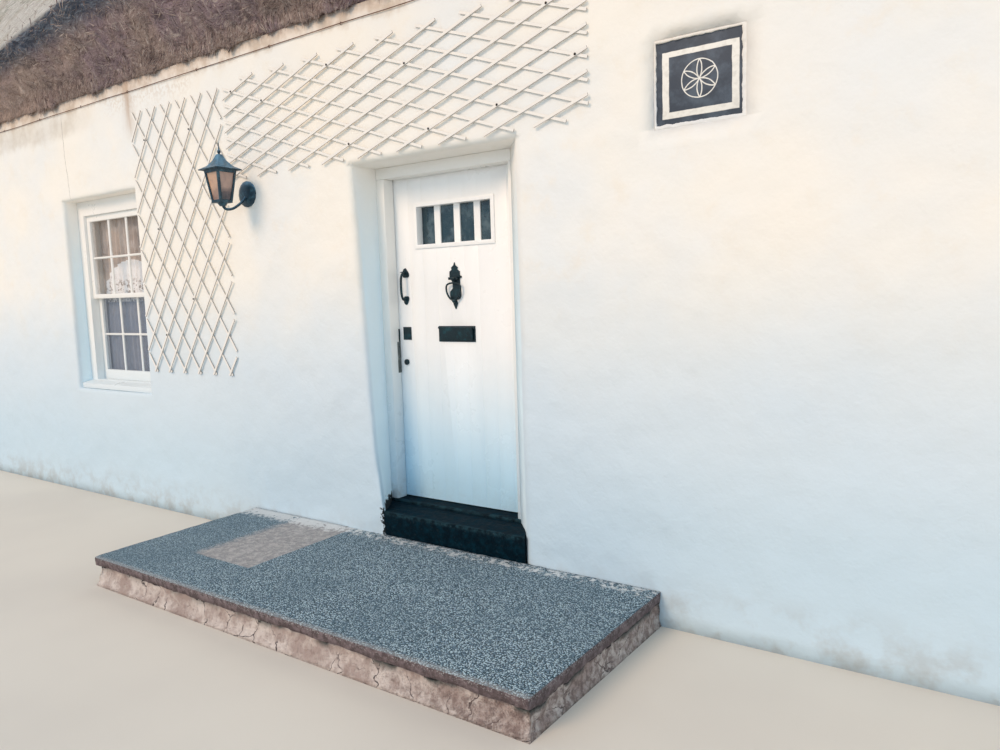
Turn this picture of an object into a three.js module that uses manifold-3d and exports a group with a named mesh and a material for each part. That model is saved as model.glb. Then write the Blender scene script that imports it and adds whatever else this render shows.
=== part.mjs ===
// Thatched cottage with limewashed rubble walls, a boarded front door and sash windows.
// Millimetres, +Z up. The front faces -Y, and Z = 0 is the lane in front of the house.
// Lengths along the front are measured from the centre of the door, depths from the front wall's face.
import * as THREE from "three";
import { mergeVertices } from "three/addons/utils/BufferGeometryUtils.js";
import Module from "manifold-3d";

const wasm = await Module();
wasm.setup();

// House
const HOUSE_LENGTH = 11000;
const HOUSE_DEPTH = 5400;
const WALL_THICKNESS = 550;
const WALL_HEIGHT = 3010;
const FLOOR_LEVEL = 310;
const SEAT_GAP = 0.3;
const TOOL_OVERRUN = 10;
const HALF_LENGTH = HOUSE_LENGTH / 2;
const INNER_DEPTH = HOUSE_DEPTH - 2 * WALL_THICKNESS;

// Roof
const ROOF_PITCH = THREE.MathUtils.degToRad(50);
const EAVES_OVERHANG = 310;
const EAVES_RISE = 400;
const VERGE_OVERHANG = 200;
const VERGE_ROUNDING = 130;
const VERGE_DRAW_IN = 104;
const VERGE_STEPS = 3;
const BROW_RADIUS = 45;
const BROW_STEPS = 3;
const RIDGE_SHOULDER = 260;
const RIDGE_CROWN = 110;
const RIDGE_CROWN_DROP = 118;
const RIDGE_TOP_DROP = 88;
const RIDGE_CAP_REACH = 560;
const RIDGE_CAP_THICKNESS = 55;
const RIDGE_CAP_ROUNDING = 95;
const SLOPE = Math.tan(ROOF_PITCH);
const MID_DEPTH = HOUSE_DEPTH / 2;
const UNDERSIDE_PEAK = WALL_HEIGHT + MID_DEPTH * SLOPE;
const DRIP_LEVEL = WALL_HEIGHT + EAVES_RISE;
const RIDGE_LEVEL = DRIP_LEVEL + (MID_DEPTH + EAVES_OVERHANG) * SLOPE;
const COUPLE_SPACING = 2450;
const TIMBER_WIDTH = 90;
const RAFTER_DEPTH = 130;
const RAFTER_FOOT = 120;
const TIE_RISE = 900;
const TIE_INSET = 10;

// Chimneys
const STACK_DEPTH = 760;
const STACK_RISE = 620;
const STACK_CAP_PROUD = 50;
const STACK_CAP_HEIGHT = 130;
const FLUE_SIZE = 260;
const FLUE_DEPTH = 900;
const POT = {
  height: 430,
  radius: 175,
  wall: 32,
  flare: 25,
  flareRise: 50,
  taper: 25,
  lip: 5,
  lipRise: 45,
  sides: 8,
};

// Doorway and its frame
const OPENING_HALF = 479;
const OPENING_TOP = 2200;
const OPENING_RIGHT_AT_FACE = 590;
const FRAME_FACE_DEPTH = 200;
const FRAME_BACK_DEPTH = 332;
const INNER_SPLAY = 150;
const LEAF_SIGHT_WIDTH = 838;
const LEAF_SIGHT_HEIGHT = 1829;
const LEAF_UNDER_STOP = 12;
const LEAF_THICKNESS = 50;
const LEAF_FACE_DEPTH = FRAME_BACK_DEPTH - LEAF_THICKNESS;
const MOVING_GAP = 5;
const SIGHT_HALF = LEAF_SIGHT_WIDTH / 2;
const LEAF_HALF = SIGHT_HALF + LEAF_UNDER_STOP;
const LEAF_TOP = FLOOR_LEVEL + LEAF_SIGHT_HEIGHT + LEAF_UNDER_STOP;
const STOP_BACK = LEAF_FACE_DEPTH - MOVING_GAP;
const SILL_TOP = FLOOR_LEVEL - MOVING_GAP;
const SILL_HEIGHT = 40;
const FLAGS_TOP = FLOOR_LEVEL - 10;

// Step and landing
const LANDING_TOP = 160;
const LANDING_DEPTH = 1050;
const LANDING_LEFT = -1472;
const LANDING_RIGHT_FRONT = 1271;
const LANDING_RIGHT_BACK = 1296;
const STEP_TOP = 290;
const STEP_NOSE = 6;
const STEP_DEPTH = 190;

// Door furniture, heights above the bottom of the leaf
const LIGHT = {
  width: 506,
  bottom: 1458,
  height: 209,
  bars: 3,
  barWidth: 41,
  barDepth: 8,
  barTenon: 5,
  setBack: 34,
};
const LETTER = {
  centre: 959,
  width: 252,
  height: 87,
  plate: 4,
  slotWidth: 190,
  slotHeight: 40,
  pinDrop: 9,
  pinDepth: 9.5,
  pinRadius: 2,
  earInset: 2,
  earWidth: 5,
  earHalf: 5,
  flapThickness: 4,
  flapSideGap: 5.5,
  sleeveRadius: 4.5,
  boreRadius: 2.5,
  flapFoot: 8,
};
const HANDLE = {
  x: -359,
  bottom: 1124,
  top: 1332,
  reach: 42,
  bendReach: 30,
  bendDrop: 34,
  radius: 7,
  padRadius: 17,
  padStretch: 1.45,
  padThickness: 5,
};
const LOCK_PLATE = { x: -361, centre: 960, width: 60, height: 74, thickness: 4 };
const LOCK_CYLINDER = { x: -373, centre: 794, radius: 17, proud: 9 };
const KNOCKER = {
  bottom: 1096,
  pivot: 1262,
  plate: 5,
  pinDepth: 20,
  pinRadius: 3.5,
  earInner: 22,
  earOuter: 28,
  earHalf: 7,
  sleeveHalf: 16,
  sleeveRadius: 8,
  boreRadius: 4,
  armHalf: 5,
  armDepth: 3,
  wingRadius: 5,
  anvilRise: 44,
  anvilRadius: 9,
  anvilProud: 12,
  knobRadius: 11,
};

// Half widths of the knocker's back plate, each with its height above the plate's lower tip
const KNOCKER_OUTLINE = [
  [0, 252],
  [4, 236],
  [20, 224],
  [13, 214],
  [26, 204],
  [26, 172],
  [16, 156],
  [16, 96],
  [30, 84],
  [30, 62],
  [8, 50],
  [8, 42],
  [14, 29],
  [0, 0],
];

// The striker's right wing, from its arm to its knob: distance sideways, and drop below the pivot
const STRIKER_WING = [
  [0, 24],
  [30, 27],
  [47, 38],
  [46, 74],
  [27, 106],
  [0, 122],
];
const HINGE_HEIGHTS = { lower: 330, upper: 1480 };
const HINGE_X = LEAF_HALF + MOVING_GAP / 2;
const HINGE_DEPTH = FRAME_BACK_DEPTH + 13;
const HINGE = {
  knuckleHalf: 30,
  knuckleRadius: 10,
  boreRadius: 6,
  pinRadius: 5.5,
  pinFoot: 34,
  strapLength: 440,
  strapThickness: 6,
  shelf: 44,
  shelfTop: 30.6,
  plateHalf: 60,
  plateNear: 12,
  plateFar: 38,
  webFar: 26,
  webHalf: 8,
};

// Half heights of a hinge strap, each with its distance from the pin
const STRAP_OUTLINE = [
  [2, 28],
  [160, 20],
  [420, 9],
  [440, 0],
];

// Windows
const WINDOW_CENTRE = 3094;
const WINDOW_HALF = 497;
const WINDOW_BOTTOM = 840;
const WINDOW_TOP = 2288;
const WINDOW_FACE_DEPTH = 108;
const WINDOW_FRAME_DEPTH = 125;
const SASH_HALF = 411.5;
const SASH_SET_BACK = 20;
const SASH_THICKNESS = 38;
const SASH_BOTTOM = 900;
const SASH_MEETING = 1555;
const SASH_TOP = 2178;
const STILE = 45;
const MEETING_RAIL = 34;
const BOTTOM_RAIL = 75;
const SASH_GAP = 2;
const GLASS = 4;
const WINDOW_SPLAY = 130;
const WINDOW_SILL = { front: 30, lap: 10, top: SASH_BOTTOM - 2, fall: 20 };
const BACK_WINDOW_LAP = 1;

// A net curtain behind each front window, from its clearance behind the lower sash
const CURTAIN = { clearance: 6, depth: 30, foot: 15, head: 28 };

// Fittings on the front wall
const PLAQUE_CENTRE = { x: 1473, z: 2310 };
const PLAQUE_SIZE = { width: 346, height: 320, thickness: 20 };
const PLAQUE_RECESS = { border: 14, depth: 30 };
const LANTERN = {
  x: -1350,
  standOff: 185,
  base: 2064,
  bodyTop: 2252,
  footHalf: 41,
  topHalf: 65,
  rail: 16,
  bar: 13,
  tin: 6,
  plateCentre: 2130,
  armRadius: 8,
  cupHeight: 18,
  cupRadii: [16, 30],
};

// The lantern's domed back plate, radius against distance from the wall
const LANTERN_DOME = [
  [0, 0],
  [78, 0],
  [78, 8],
  [52, 20],
  [0, 26],
];

// The arm, distance from the wall against height over the foot of the lantern's body
const LANTERN_ARM = [
  [14, 50],
  [62, 4],
  [122, -30],
  [168, -32],
  [185, -10],
];

// Half widths of the lantern's hipped roof, each with its height above the eaves
const LANTERN_ROOF = [
  [87, 0],
  [87, 6],
  [52, 26],
  [27, 58],
  [12, 92],
];
const LANTERN_ROOF_LAP = 0.5;

// The finial, radius against height
const LANTERN_FINIAL = [
  [0, 0],
  [6, 0],
  [6, 6],
  [11, 14],
  [9, 22],
  [4, 30],
  [2.5, 64],
  [0, 72],
];
const WIRE_LEVEL = 2938;
const WIRE_RADIUS = 4;

// Trellises: the field that the slats fill, a diamond's size and the place of one crossing
const WIDE_TRELLIS = {
  left: -1519,
  right: 986,
  bottom: 2230,
  top: 2816,
  diamond: [277.5, 97],
  node: [-1290, 2793],
};
const NARROW_TRELLIS = {
  left: -2546,
  right: -1552,
  bottom: 1010,
  top: 2790,
  diamond: [169, 240],
  node: [-2384, 2589],
};
const SLAT_WIDTH = 14;
const SLAT_THICKNESS = 6;
const SLAT_HALVING = 1;
const SHORTEST_SLAT = 0.35;
const TRELLIS_STAND_OFF = 4;
const NAIL_RADIUS = 5;
const NAIL_PROUD = 4;

// Crossings that are nailed, counted in half diamonds right of and below the trellis's first crossing
const WIDE_TRELLIS_NAILS = [
  [-1, 1],
  [1, 3],
  [5, 1],
  [6, 10],
  [9, 3],
  [10, 10],
  [13, 9],
  [15, 1],
  [16, 6],
];
const NARROW_TRELLIS_NAILS = [
  [0, 0],
  [6, 0],
  [1, 5],
  [5, 9],
  [1, 11],
];

const MATERIALS = {
  limewash: { color: 0xf2eee4, roughness: 0.9, metalness: 0 },
  thatch: { color: 0xb49a6e, roughness: 1, metalness: 0 },
  straw_ridge: { color: 0xa98d60, roughness: 1, metalness: 0 },
  floor_stone: { color: 0x8d8a84, roughness: 0.85, metalness: 0 },
  landing_concrete: { color: 0x9a9a96, roughness: 0.95, metalness: 0 },
  step_paint: { color: 0x1d2a2c, roughness: 0.55, metalness: 0 },
  white_paint: { color: 0xf4f2ec, roughness: 0.4, metalness: 0 },
  black_iron: { color: 0x182326, roughness: 0.45, metalness: 0.7 },
  roof_timber: { color: 0x6f5a44, roughness: 0.8, metalness: 0 },
  net_lace: { color: 0xe9e5dd, roughness: 1, metalness: 0 },
  clear_glass: { color: 0xb9c4c6, roughness: 0.05, metalness: 0 },
  amber_glass: { color: 0xc79a78, roughness: 0.3, metalness: 0 },
  pot_clay: { color: 0xece6da, roughness: 0.8, metalness: 0 },
  plaque_slate: { color: 0x2a2e30, roughness: 0.7, metalness: 0 },
};

// Geometry helpers

function solidOf(geometry) {
  const bare = geometry.index ? geometry.toNonIndexed() : geometry.clone();
  bare.deleteAttribute("normal");
  bare.deleteAttribute("uv");
  const merged = mergeVertices(bare, 1e-3);
  return new wasm.Manifold(
    new wasm.Mesh({
      numProp: 3,
      vertProperties: merged.attributes.position.array,
      triVerts: new Uint32Array(merged.index.array),
    }),
  );
}

function geometryOf(solid) {
  const mesh = solid.getMesh();
  const positions = new Float32Array(mesh.numVert * 3);
  for (let i = 0; i < mesh.numVert; i++) {
    positions.set(mesh.vertProperties.subarray(i * mesh.numProp, i * mesh.numProp + 3), i * 3);
  }
  const geometry = new THREE.BufferGeometry();
  geometry.setAttribute("position", new THREE.BufferAttribute(positions, 3));
  geometry.setIndex(new THREE.BufferAttribute(mesh.triVerts, 1));
  geometry.computeVertexNormals();
  return geometry;
}

function joined(...geometries) {
  return geometryOf(geometries.map(solidOf).reduce((a, b) => a.add(b)));
}

function cut(base, ...tools) {
  return geometryOf(tools.map(solidOf).reduce((a, b) => a.subtract(b), solidOf(base)));
}

function common(a, b) {
  return geometryOf(solidOf(a).intersect(solidOf(b)));
}

function block(x, y, z) {
  const geometry = new THREE.BoxGeometry(x[1] - x[0], y[1] - y[0], z[1] - z[0]);
  return geometry.translate((x[0] + x[1]) / 2, (y[0] + y[1]) / 2, (z[0] + z[1]) / 2);
}

function outline(points) {
  return new THREE.Shape(points.map(([a, b]) => new THREE.Vector2(a, b)));
}

function extruded(shape, length) {
  return new THREE.ExtrudeGeometry(shape, { depth: length, bevelEnabled: false, curveSegments: 12 });
}

const ALONG_X = new THREE.Matrix4().makeBasis(
  new THREE.Vector3(0, 1, 0),
  new THREE.Vector3(0, 0, 1),
  new THREE.Vector3(1, 0, 0),
);
const ALONG_MINUS_Y = new THREE.Matrix4().makeBasis(
  new THREE.Vector3(1, 0, 0),
  new THREE.Vector3(0, 0, 1),
  new THREE.Vector3(0, -1, 0),
);

// A section drawn in (y, z), run from x[0] to x[1].
function runAlongX(section, x) {
  return extruded(section, x[1] - x[0]).applyMatrix4(ALONG_X).translate(x[0], 0, 0);
}

// An elevation drawn in (x, z), thickened from y[0] to y[1].
function runAlongY(elevation, y) {
  return extruded(elevation, y[1] - y[0]).applyMatrix4(ALONG_MINUS_Y).translate(0, y[1], 0);
}

// A plan drawn in (x, y), raised from z[0] to z[1].
function runAlongZ(plan, z) {
  return extruded(plan, z[1] - z[0]).translate(0, 0, z[0]);
}

function rod(from, to, radius, sides) {
  const start = new THREE.Vector3(...from);
  const span = new THREE.Vector3(...to).sub(start);
  const upright = new THREE.Vector3(0, 1, 0);
  const turn = new THREE.Quaternion().setFromUnitVectors(upright, span.clone().normalize());
  const middle = start.clone().addScaledVector(span, 0.5);
  return new THREE.CylinderGeometry(radius, radius, span.length(), sides)
    .applyQuaternion(turn)
    .translate(middle.x, middle.y, middle.z);
}

// A bar that follows a smooth curve through the points.
function curvedBar(points, radius, sides, steps) {
  const path = new THREE.CatmullRomCurve3(points.map((p) => new THREE.Vector3(...p)));
  const section = new THREE.Shape();
  section.absarc(0, 0, radius, 0, 2 * Math.PI, false);
  const options = { steps, extrudePath: path, bevelEnabled: false, curveSegments: sides };
  return new THREE.ExtrudeGeometry(section, options);
}

function turnedAbout(points, sides) {
  const profile = points.map(([r, h]) => new THREE.Vector2(r, h));
  return new THREE.LatheGeometry(profile, sides).rotateX(Math.PI / 2);
}

// A closed skin over rings of equal point counts, capped at both ends. Rings run along +X.
function skinned(rings) {
  const count = rings[0].length;
  const positions = rings.flat().flat();
  const index = [];
  for (let r = 0; r + 1 < rings.length; r++) {
    for (let i = 0; i < count; i++) {
      const a = r * count + i;
      const b = r * count + ((i + 1) % count);
      index.push(a, b, b + count, a, b + count, a + count);
    }
  }
  const flat = rings[0].map(([, y, z]) => new THREE.Vector2(y, z));
  const last = (rings.length - 1) * count;
  for (const [a, b, c] of THREE.ShapeUtils.triangulateShape(flat, [])) {
    index.push(a, c, b, last + a, last + b, last + c);
  }
  const geometry = new THREE.BufferGeometry();
  geometry.setAttribute("position", new THREE.Float32BufferAttribute(positions, 3));
  geometry.setIndex(index);
  return geometry;
}

// The house's own group: its front wall's face lies on y = 0 and the door's centre on x = 0.
const house = new THREE.Group();

function add(name, material, geometry) {
  const mesh = new THREE.Mesh(geometry, new THREE.MeshStandardMaterial(MATERIALS[material]));
  mesh.name = name;
  house.add(mesh);
  return mesh;
}

// Walls

// The doorway's hollow in plan: splayed outwards on the right and inwards on both sides.
function doorwayPlan(inset) {
  const side = OPENING_HALF - inset;
  return outline([
    [-side, -TOOL_OVERRUN],
    [OPENING_RIGHT_AT_FACE - inset, -TOOL_OVERRUN],
    [OPENING_RIGHT_AT_FACE - inset, 0],
    [side, FRAME_FACE_DEPTH],
    [side, FRAME_BACK_DEPTH],
    [side + INNER_SPLAY, WALL_THICKNESS + TOOL_OVERRUN],
    [-side - INNER_SPLAY, WALL_THICKNESS + TOOL_OVERRUN],
    [-side, FRAME_BACK_DEPTH],
  ]);
}

// A window's hollow in plan, drawn from the wall's face inwards, with splayed inner reveals.
function windowPlan(centre) {
  const back = WINDOW_FACE_DEPTH + WINDOW_FRAME_DEPTH;
  return outline([
    [centre - WINDOW_HALF, -TOOL_OVERRUN],
    [centre + WINDOW_HALF, -TOOL_OVERRUN],
    [centre + WINDOW_HALF, back],
    [centre + WINDOW_HALF + WINDOW_SPLAY, WALL_THICKNESS + TOOL_OVERRUN],
    [centre - WINDOW_HALF - WINDOW_SPLAY, WALL_THICKNESS + TOOL_OVERRUN],
    [centre - WINDOW_HALF, back],
  ]);
}

function windowHole(centre) {
  return runAlongZ(windowPlan(centre), [WINDOW_BOTTOM, WINDOW_TOP]);
}

// Turns a piece drawn for the front wall round to the back wall.
function toBack(geometry) {
  return geometry.clone().rotateZ(Math.PI).translate(0, HOUSE_DEPTH, 0);
}

function frontWalls() {
  const doorway = runAlongZ(doorwayPlan(0), [-TOOL_OVERRUN, OPENING_TOP]);
  const height = [0, WALL_HEIGHT];
  const left = block([-HALF_LENGTH, -OPENING_HALF], [0, WALL_THICKNESS], height);
  const right = block([OPENING_HALF, HALF_LENGTH], [0, WALL_THICKNESS], height);
  const over = block(
    [-OPENING_HALF + SEAT_GAP, OPENING_HALF - SEAT_GAP],
    [0, WALL_THICKNESS],
    [OPENING_TOP, WALL_HEIGHT],
  );
  const recessHalf = PLAQUE_SIZE.width / 2 + PLAQUE_RECESS.border;
  const recessRise = PLAQUE_SIZE.height / 2 + PLAQUE_RECESS.border;
  const recess = block(
    [PLAQUE_CENTRE.x - recessHalf, PLAQUE_CENTRE.x + recessHalf],
    [-TOOL_OVERRUN, PLAQUE_RECESS.depth],
    [PLAQUE_CENTRE.z - recessRise, PLAQUE_CENTRE.z + recessRise],
  );
  add("front_wall_left", "limewash", cut(left, doorway, windowHole(-WINDOW_CENTRE)));
  add("front_wall_right", "limewash", cut(right, doorway, windowHole(WINDOW_CENTRE), recess));
  add("front_wall_over_door", "limewash", over);
}

function backWall() {
  const wall = block([-HALF_LENGTH, HALF_LENGTH], [0, WALL_THICKNESS], [0, WALL_HEIGHT]);
  add("back_wall", "limewash", toBack(cut(wall, windowHole(-WINDOW_CENTRE), windowHole(WINDOW_CENTRE))));
}

// A gable stands between the long walls, laps over their tops and stops flat under its chimney stack.
function gableSection() {
  const stackHalf = STACK_DEPTH / 2;
  const inner = WALL_THICKNESS + SEAT_GAP;
  const lap = WALL_HEIGHT + SEAT_GAP;
  const slopeStart = (2 * SEAT_GAP) / SLOPE;
  const shoulder = stackFoot();
  return outline([
    [inner, 0],
    [HOUSE_DEPTH - inner, 0],
    [HOUSE_DEPTH - inner, lap],
    [HOUSE_DEPTH - slopeStart, lap],
    [MID_DEPTH + stackHalf, shoulder],
    [MID_DEPTH - stackHalf, shoulder],
    [slopeStart, lap],
    [inner, lap],
  ]);
}

function stackFoot() {
  return UNDERSIDE_PEAK - (STACK_DEPTH / 2) * SLOPE - SEAT_GAP;
}

function gables() {
  const ends = {
    left: [-HALF_LENGTH, -HALF_LENGTH + WALL_THICKNESS],
    right: [HALF_LENGTH - WALL_THICKNESS, HALF_LENGTH],
  };
  for (const [side, x] of Object.entries(ends)) {
    add(`${side}_gable_wall`, "limewash", runAlongX(gableSection(), x));
    chimney(side, x);
  }
}

function chimney(side, x) {
  const y = [MID_DEPTH - STACK_DEPTH / 2, MID_DEPTH + STACK_DEPTH / 2];
  const top = RIDGE_LEVEL + STACK_RISE;
  const middle = (x[0] + x[1]) / 2;
  const flueHalf = FLUE_SIZE / 2;
  const shaft = block(x, y, [stackFoot() + SEAT_GAP, top]);
  const cap = block(
    [x[0] - STACK_CAP_PROUD, x[1] + STACK_CAP_PROUD],
    [y[0] - STACK_CAP_PROUD, y[1] + STACK_CAP_PROUD],
    [top - STACK_CAP_HEIGHT, top],
  );
  const flue = block(
    [middle - flueHalf, middle + flueHalf],
    [MID_DEPTH - flueHalf, MID_DEPTH + flueHalf],
    [top - FLUE_DEPTH, top + TOOL_OVERRUN],
  );
  add(`${side}_chimney_stack`, "limewash", cut(joined(shaft, cap), flue));
  const pot = chimneyPot().translate(middle, MID_DEPTH, top + SEAT_GAP);
  add(`${side}_chimney_pot`, "pot_clay", pot);
}

function chimneyPot() {
  const neck = POT.radius - POT.taper;
  const bore = POT.radius - POT.wall;
  const profile = [
    [bore, 0],
    [POT.radius + POT.flare, 0],
    [POT.radius + POT.flare, POT.flareRise],
    [POT.radius, POT.flareRise + POT.flare],
    [neck, POT.height - POT.lipRise - POT.flare],
    [POT.radius + POT.lip, POT.height - POT.lipRise],
    [POT.radius + POT.lip, POT.height],
    [neck - POT.wall, POT.height],
    [bore, 0],
  ];
  return turnedAbout(profile, POT.sides).rotateZ(Math.PI / POT.sides);
}

function doorwayFooting() {
  const plan = runAlongZ(doorwayPlan(SEAT_GAP), [0, FLOOR_LEVEL]);
  const seat = SILL_TOP - SILL_HEIGHT - SEAT_GAP;
  const section = outline([
    [STEP_DEPTH + SEAT_GAP, 0],
    [WALL_THICKNESS, 0],
    [WALL_THICKNESS, FLAGS_TOP],
    [FRAME_BACK_DEPTH, FLAGS_TOP],
    [FRAME_BACK_DEPTH, seat],
    [STEP_DEPTH + SEAT_GAP, seat],
  ]);
  const breadth = [-OPENING_RIGHT_AT_FACE, OPENING_RIGHT_AT_FACE];
  add("doorway_footing", "floor_stone", common(plan, runAlongX(section, breadth)));
}

function groundFloor() {
  const x = HALF_LENGTH - WALL_THICKNESS - SEAT_GAP;
  const y = [WALL_THICKNESS + SEAT_GAP, WALL_THICKNESS + INNER_DEPTH - SEAT_GAP];
  add("ground_floor", "floor_stone", block([-x, x], y, [0, FLAGS_TOP]));
}

// Roof

// The brow's arc in (distance from mid-depth, level), from the cut eaves round to the slope.
// The slope's line, drawn on, passes through (rim, level), and the arc touches rim.
function browArc(rim, level) {
  const slopeNormal = Math.PI / 2 - ROOF_PITCH;
  const drop = BROW_RADIUS * (Math.sin(slopeNormal) - (1 - Math.cos(slopeNormal)) * SLOPE);
  const points = [];
  for (let i = 0; i <= BROW_STEPS; i++) {
    const angle = slopeNormal - (Math.PI / 2) * (1 - i / BROW_STEPS);
    points.push([rim + BROW_RADIUS * (Math.cos(angle) - 1), level - drop + BROW_RADIUS * Math.sin(angle)]);
  }
  return points;
}

// The thatch coat's section in (y, z). inset lowers the slopes and draws in the eaves at the rounded verges.
function thatchSection(inset) {
  const drop = inset / Math.cos(ROOF_PITCH);
  const half = [
    [MID_DEPTH, WALL_HEIGHT + SEAT_GAP],
    ...browArc(MID_DEPTH + EAVES_OVERHANG - inset / 2, DRIP_LEVEL - inset / 3),
    [RIDGE_SHOULDER, RIDGE_LEVEL - RIDGE_SHOULDER * SLOPE - drop],
    [RIDGE_CROWN, RIDGE_LEVEL - RIDGE_CROWN_DROP - drop],
  ];
  const back = half.map(([y, z]) => [MID_DEPTH + y, z]);
  const front = half.map(([y, z]) => [MID_DEPTH - y, z]).reverse();
  const peak = [MID_DEPTH, UNDERSIDE_PEAK + SEAT_GAP];
  return [peak, ...back, [MID_DEPTH, RIDGE_LEVEL - RIDGE_TOP_DROP - drop], ...front];
}

function thatch() {
  const end = HALF_LENGTH + VERGE_OVERHANG;
  const ring = (x, inset) => thatchSection(inset).map(([y, z]) => [x, y, z]);
  const rings = [];
  for (let i = 0; i <= VERGE_STEPS; i++) {
    const angle = (Math.PI / 2) * (i / VERGE_STEPS);
    rings.push(ring(-end + VERGE_ROUNDING * (1 - Math.cos(angle)), VERGE_DRAW_IN * (1 - Math.sin(angle))));
  }
  const mirrored = rings.map((points) => points.map(([x, y, z]) => [-x, y, z])).reverse();
  const coat = skinned([...rings, ...mirrored]);
  const y = [MID_DEPTH - STACK_DEPTH / 2 - SEAT_GAP, MID_DEPTH + STACK_DEPTH / 2 + SEAT_GAP];
  const z = [UNDERSIDE_PEAK - STACK_DEPTH, RIDGE_LEVEL + STACK_RISE];
  const inner = HALF_LENGTH - WALL_THICKNESS - SEAT_GAP;
  const leftHole = block([-HALF_LENGTH - SEAT_GAP, -inner], y, z);
  const rightHole = block([inner, HALF_LENGTH + SEAT_GAP], y, z);
  add("thatch_coat", "thatch", cut(coat, leftHole, rightHole));
}

function ridgeCap() {
  const reach = RIDGE_CAP_REACH;
  const onSlope = (y) => [y, RIDGE_LEVEL - Math.abs(y) * SLOPE + SEAT_GAP];
  const lower = [
    onSlope(-reach),
    onSlope(-RIDGE_SHOULDER),
    [-RIDGE_CROWN, RIDGE_LEVEL - RIDGE_CROWN_DROP + SEAT_GAP],
    [0, RIDGE_LEVEL - RIDGE_TOP_DROP + SEAT_GAP],
    [RIDGE_CROWN, RIDGE_LEVEL - RIDGE_CROWN_DROP + SEAT_GAP],
    onSlope(RIDGE_SHOULDER),
    onSlope(reach),
  ];
  const lift = RIDGE_CAP_THICKNESS / Math.cos(ROOF_PITCH);
  const crest = (y) => [y, RIDGE_LEVEL + lift - Math.hypot(y, RIDGE_CAP_ROUNDING) * SLOPE];
  const upper = [1, 0.55, 0.3, 0.13, 0, -0.13, -0.3, -0.55, -1].map((share) => crest(share * reach));
  const section = outline([...lower, ...upper].map(([y, z]) => [MID_DEPTH + y, z]));
  const end = HALF_LENGTH - WALL_THICKNESS - 2 * SEAT_GAP;
  add("ridge_cap", "straw_ridge", runAlongX(section, [-end, end]));
}

function roofCouple(name, x) {
  const depth = RAFTER_DEPTH / Math.cos(ROOF_PITCH);
  const seat = WALL_HEIGHT + SEAT_GAP;
  const foot = RAFTER_FOOT;
  const under = (y) => WALL_HEIGHT + y * SLOPE;
  const bearing = depth / SLOPE;
  const frame = outline([
    [foot, seat],
    [foot, under(foot) - SEAT_GAP],
    [MID_DEPTH, UNDERSIDE_PEAK - SEAT_GAP],
    [HOUSE_DEPTH - foot, under(foot) - SEAT_GAP],
    [HOUSE_DEPTH - foot, seat],
    [HOUSE_DEPTH - bearing, seat],
    [MID_DEPTH, UNDERSIDE_PEAK - depth],
    [bearing, seat],
  ]);
  const half = TIMBER_WIDTH / 2;
  const tieLevel = WALL_HEIGHT + TIE_RISE;
  const reach = MID_DEPTH - (TIE_RISE + RAFTER_DEPTH) / SLOPE - TIE_INSET;
  const tie = block(
    [x - half, x + half],
    [MID_DEPTH - reach, MID_DEPTH + reach],
    [tieLevel, tieLevel + RAFTER_DEPTH],
  );
  const couple = joined(runAlongX(frame, [x - half, x + half]), tie);
  const pole = RAFTER_DEPTH / 2 + SEAT_GAP;
  const notch = block(
    [x - TIMBER_WIDTH, x + TIMBER_WIDTH],
    [MID_DEPTH - pole, MID_DEPTH + pole],
    [UNDERSIDE_PEAK - RAFTER_DEPTH - SEAT_GAP - pole * SLOPE, UNDERSIDE_PEAK],
  );
  add(name, "roof_timber", cut(couple, notch));
}

function roofTimbers() {
  roofCouple("left_roof_couple", -COUPLE_SPACING);
  roofCouple("middle_roof_couple", 0);
  roofCouple("right_roof_couple", COUPLE_SPACING);
  const end = HALF_LENGTH - WALL_THICKNESS - SEAT_GAP;
  const half = RAFTER_DEPTH / 2;
  const shoulder = UNDERSIDE_PEAK - half * SLOPE - SEAT_GAP;
  const beam = outline([
    [MID_DEPTH - half, shoulder - RAFTER_DEPTH],
    [MID_DEPTH + half, shoulder - RAFTER_DEPTH],
    [MID_DEPTH + half, shoulder],
    [MID_DEPTH, UNDERSIDE_PEAK - SEAT_GAP],
    [MID_DEPTH - half, shoulder],
  ]);
  add("ridge_beam", "roof_timber", runAlongX(beam, [-end, end]));
}

// Landing, step and door frame

function landing() {
  const plan = outline([
    [LANDING_LEFT, -LANDING_DEPTH],
    [LANDING_RIGHT_FRONT, -LANDING_DEPTH],
    [LANDING_RIGHT_BACK, -SEAT_GAP],
    [LANDING_LEFT, -SEAT_GAP],
  ]);
  add("entrance_landing", "landing_concrete", runAlongZ(plan, [0, LANDING_TOP]));
  const tread = outline([
    [-STEP_NOSE, LANDING_TOP + SEAT_GAP],
    [SEAT_GAP, LANDING_TOP + SEAT_GAP],
    [SEAT_GAP, 0],
    [STEP_DEPTH, 0],
    [STEP_DEPTH, STEP_TOP],
    [-STEP_NOSE, STEP_TOP],
  ]);
  const between = runAlongZ(doorwayPlan(SEAT_GAP), [-TOOL_OVERRUN, OPENING_TOP]);
  const breadth = [-OPENING_RIGHT_AT_FACE, OPENING_RIGHT_AT_FACE];
  add("door_step", "step_paint", common(between, runAlongX(tread, breadth)));
}

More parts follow.
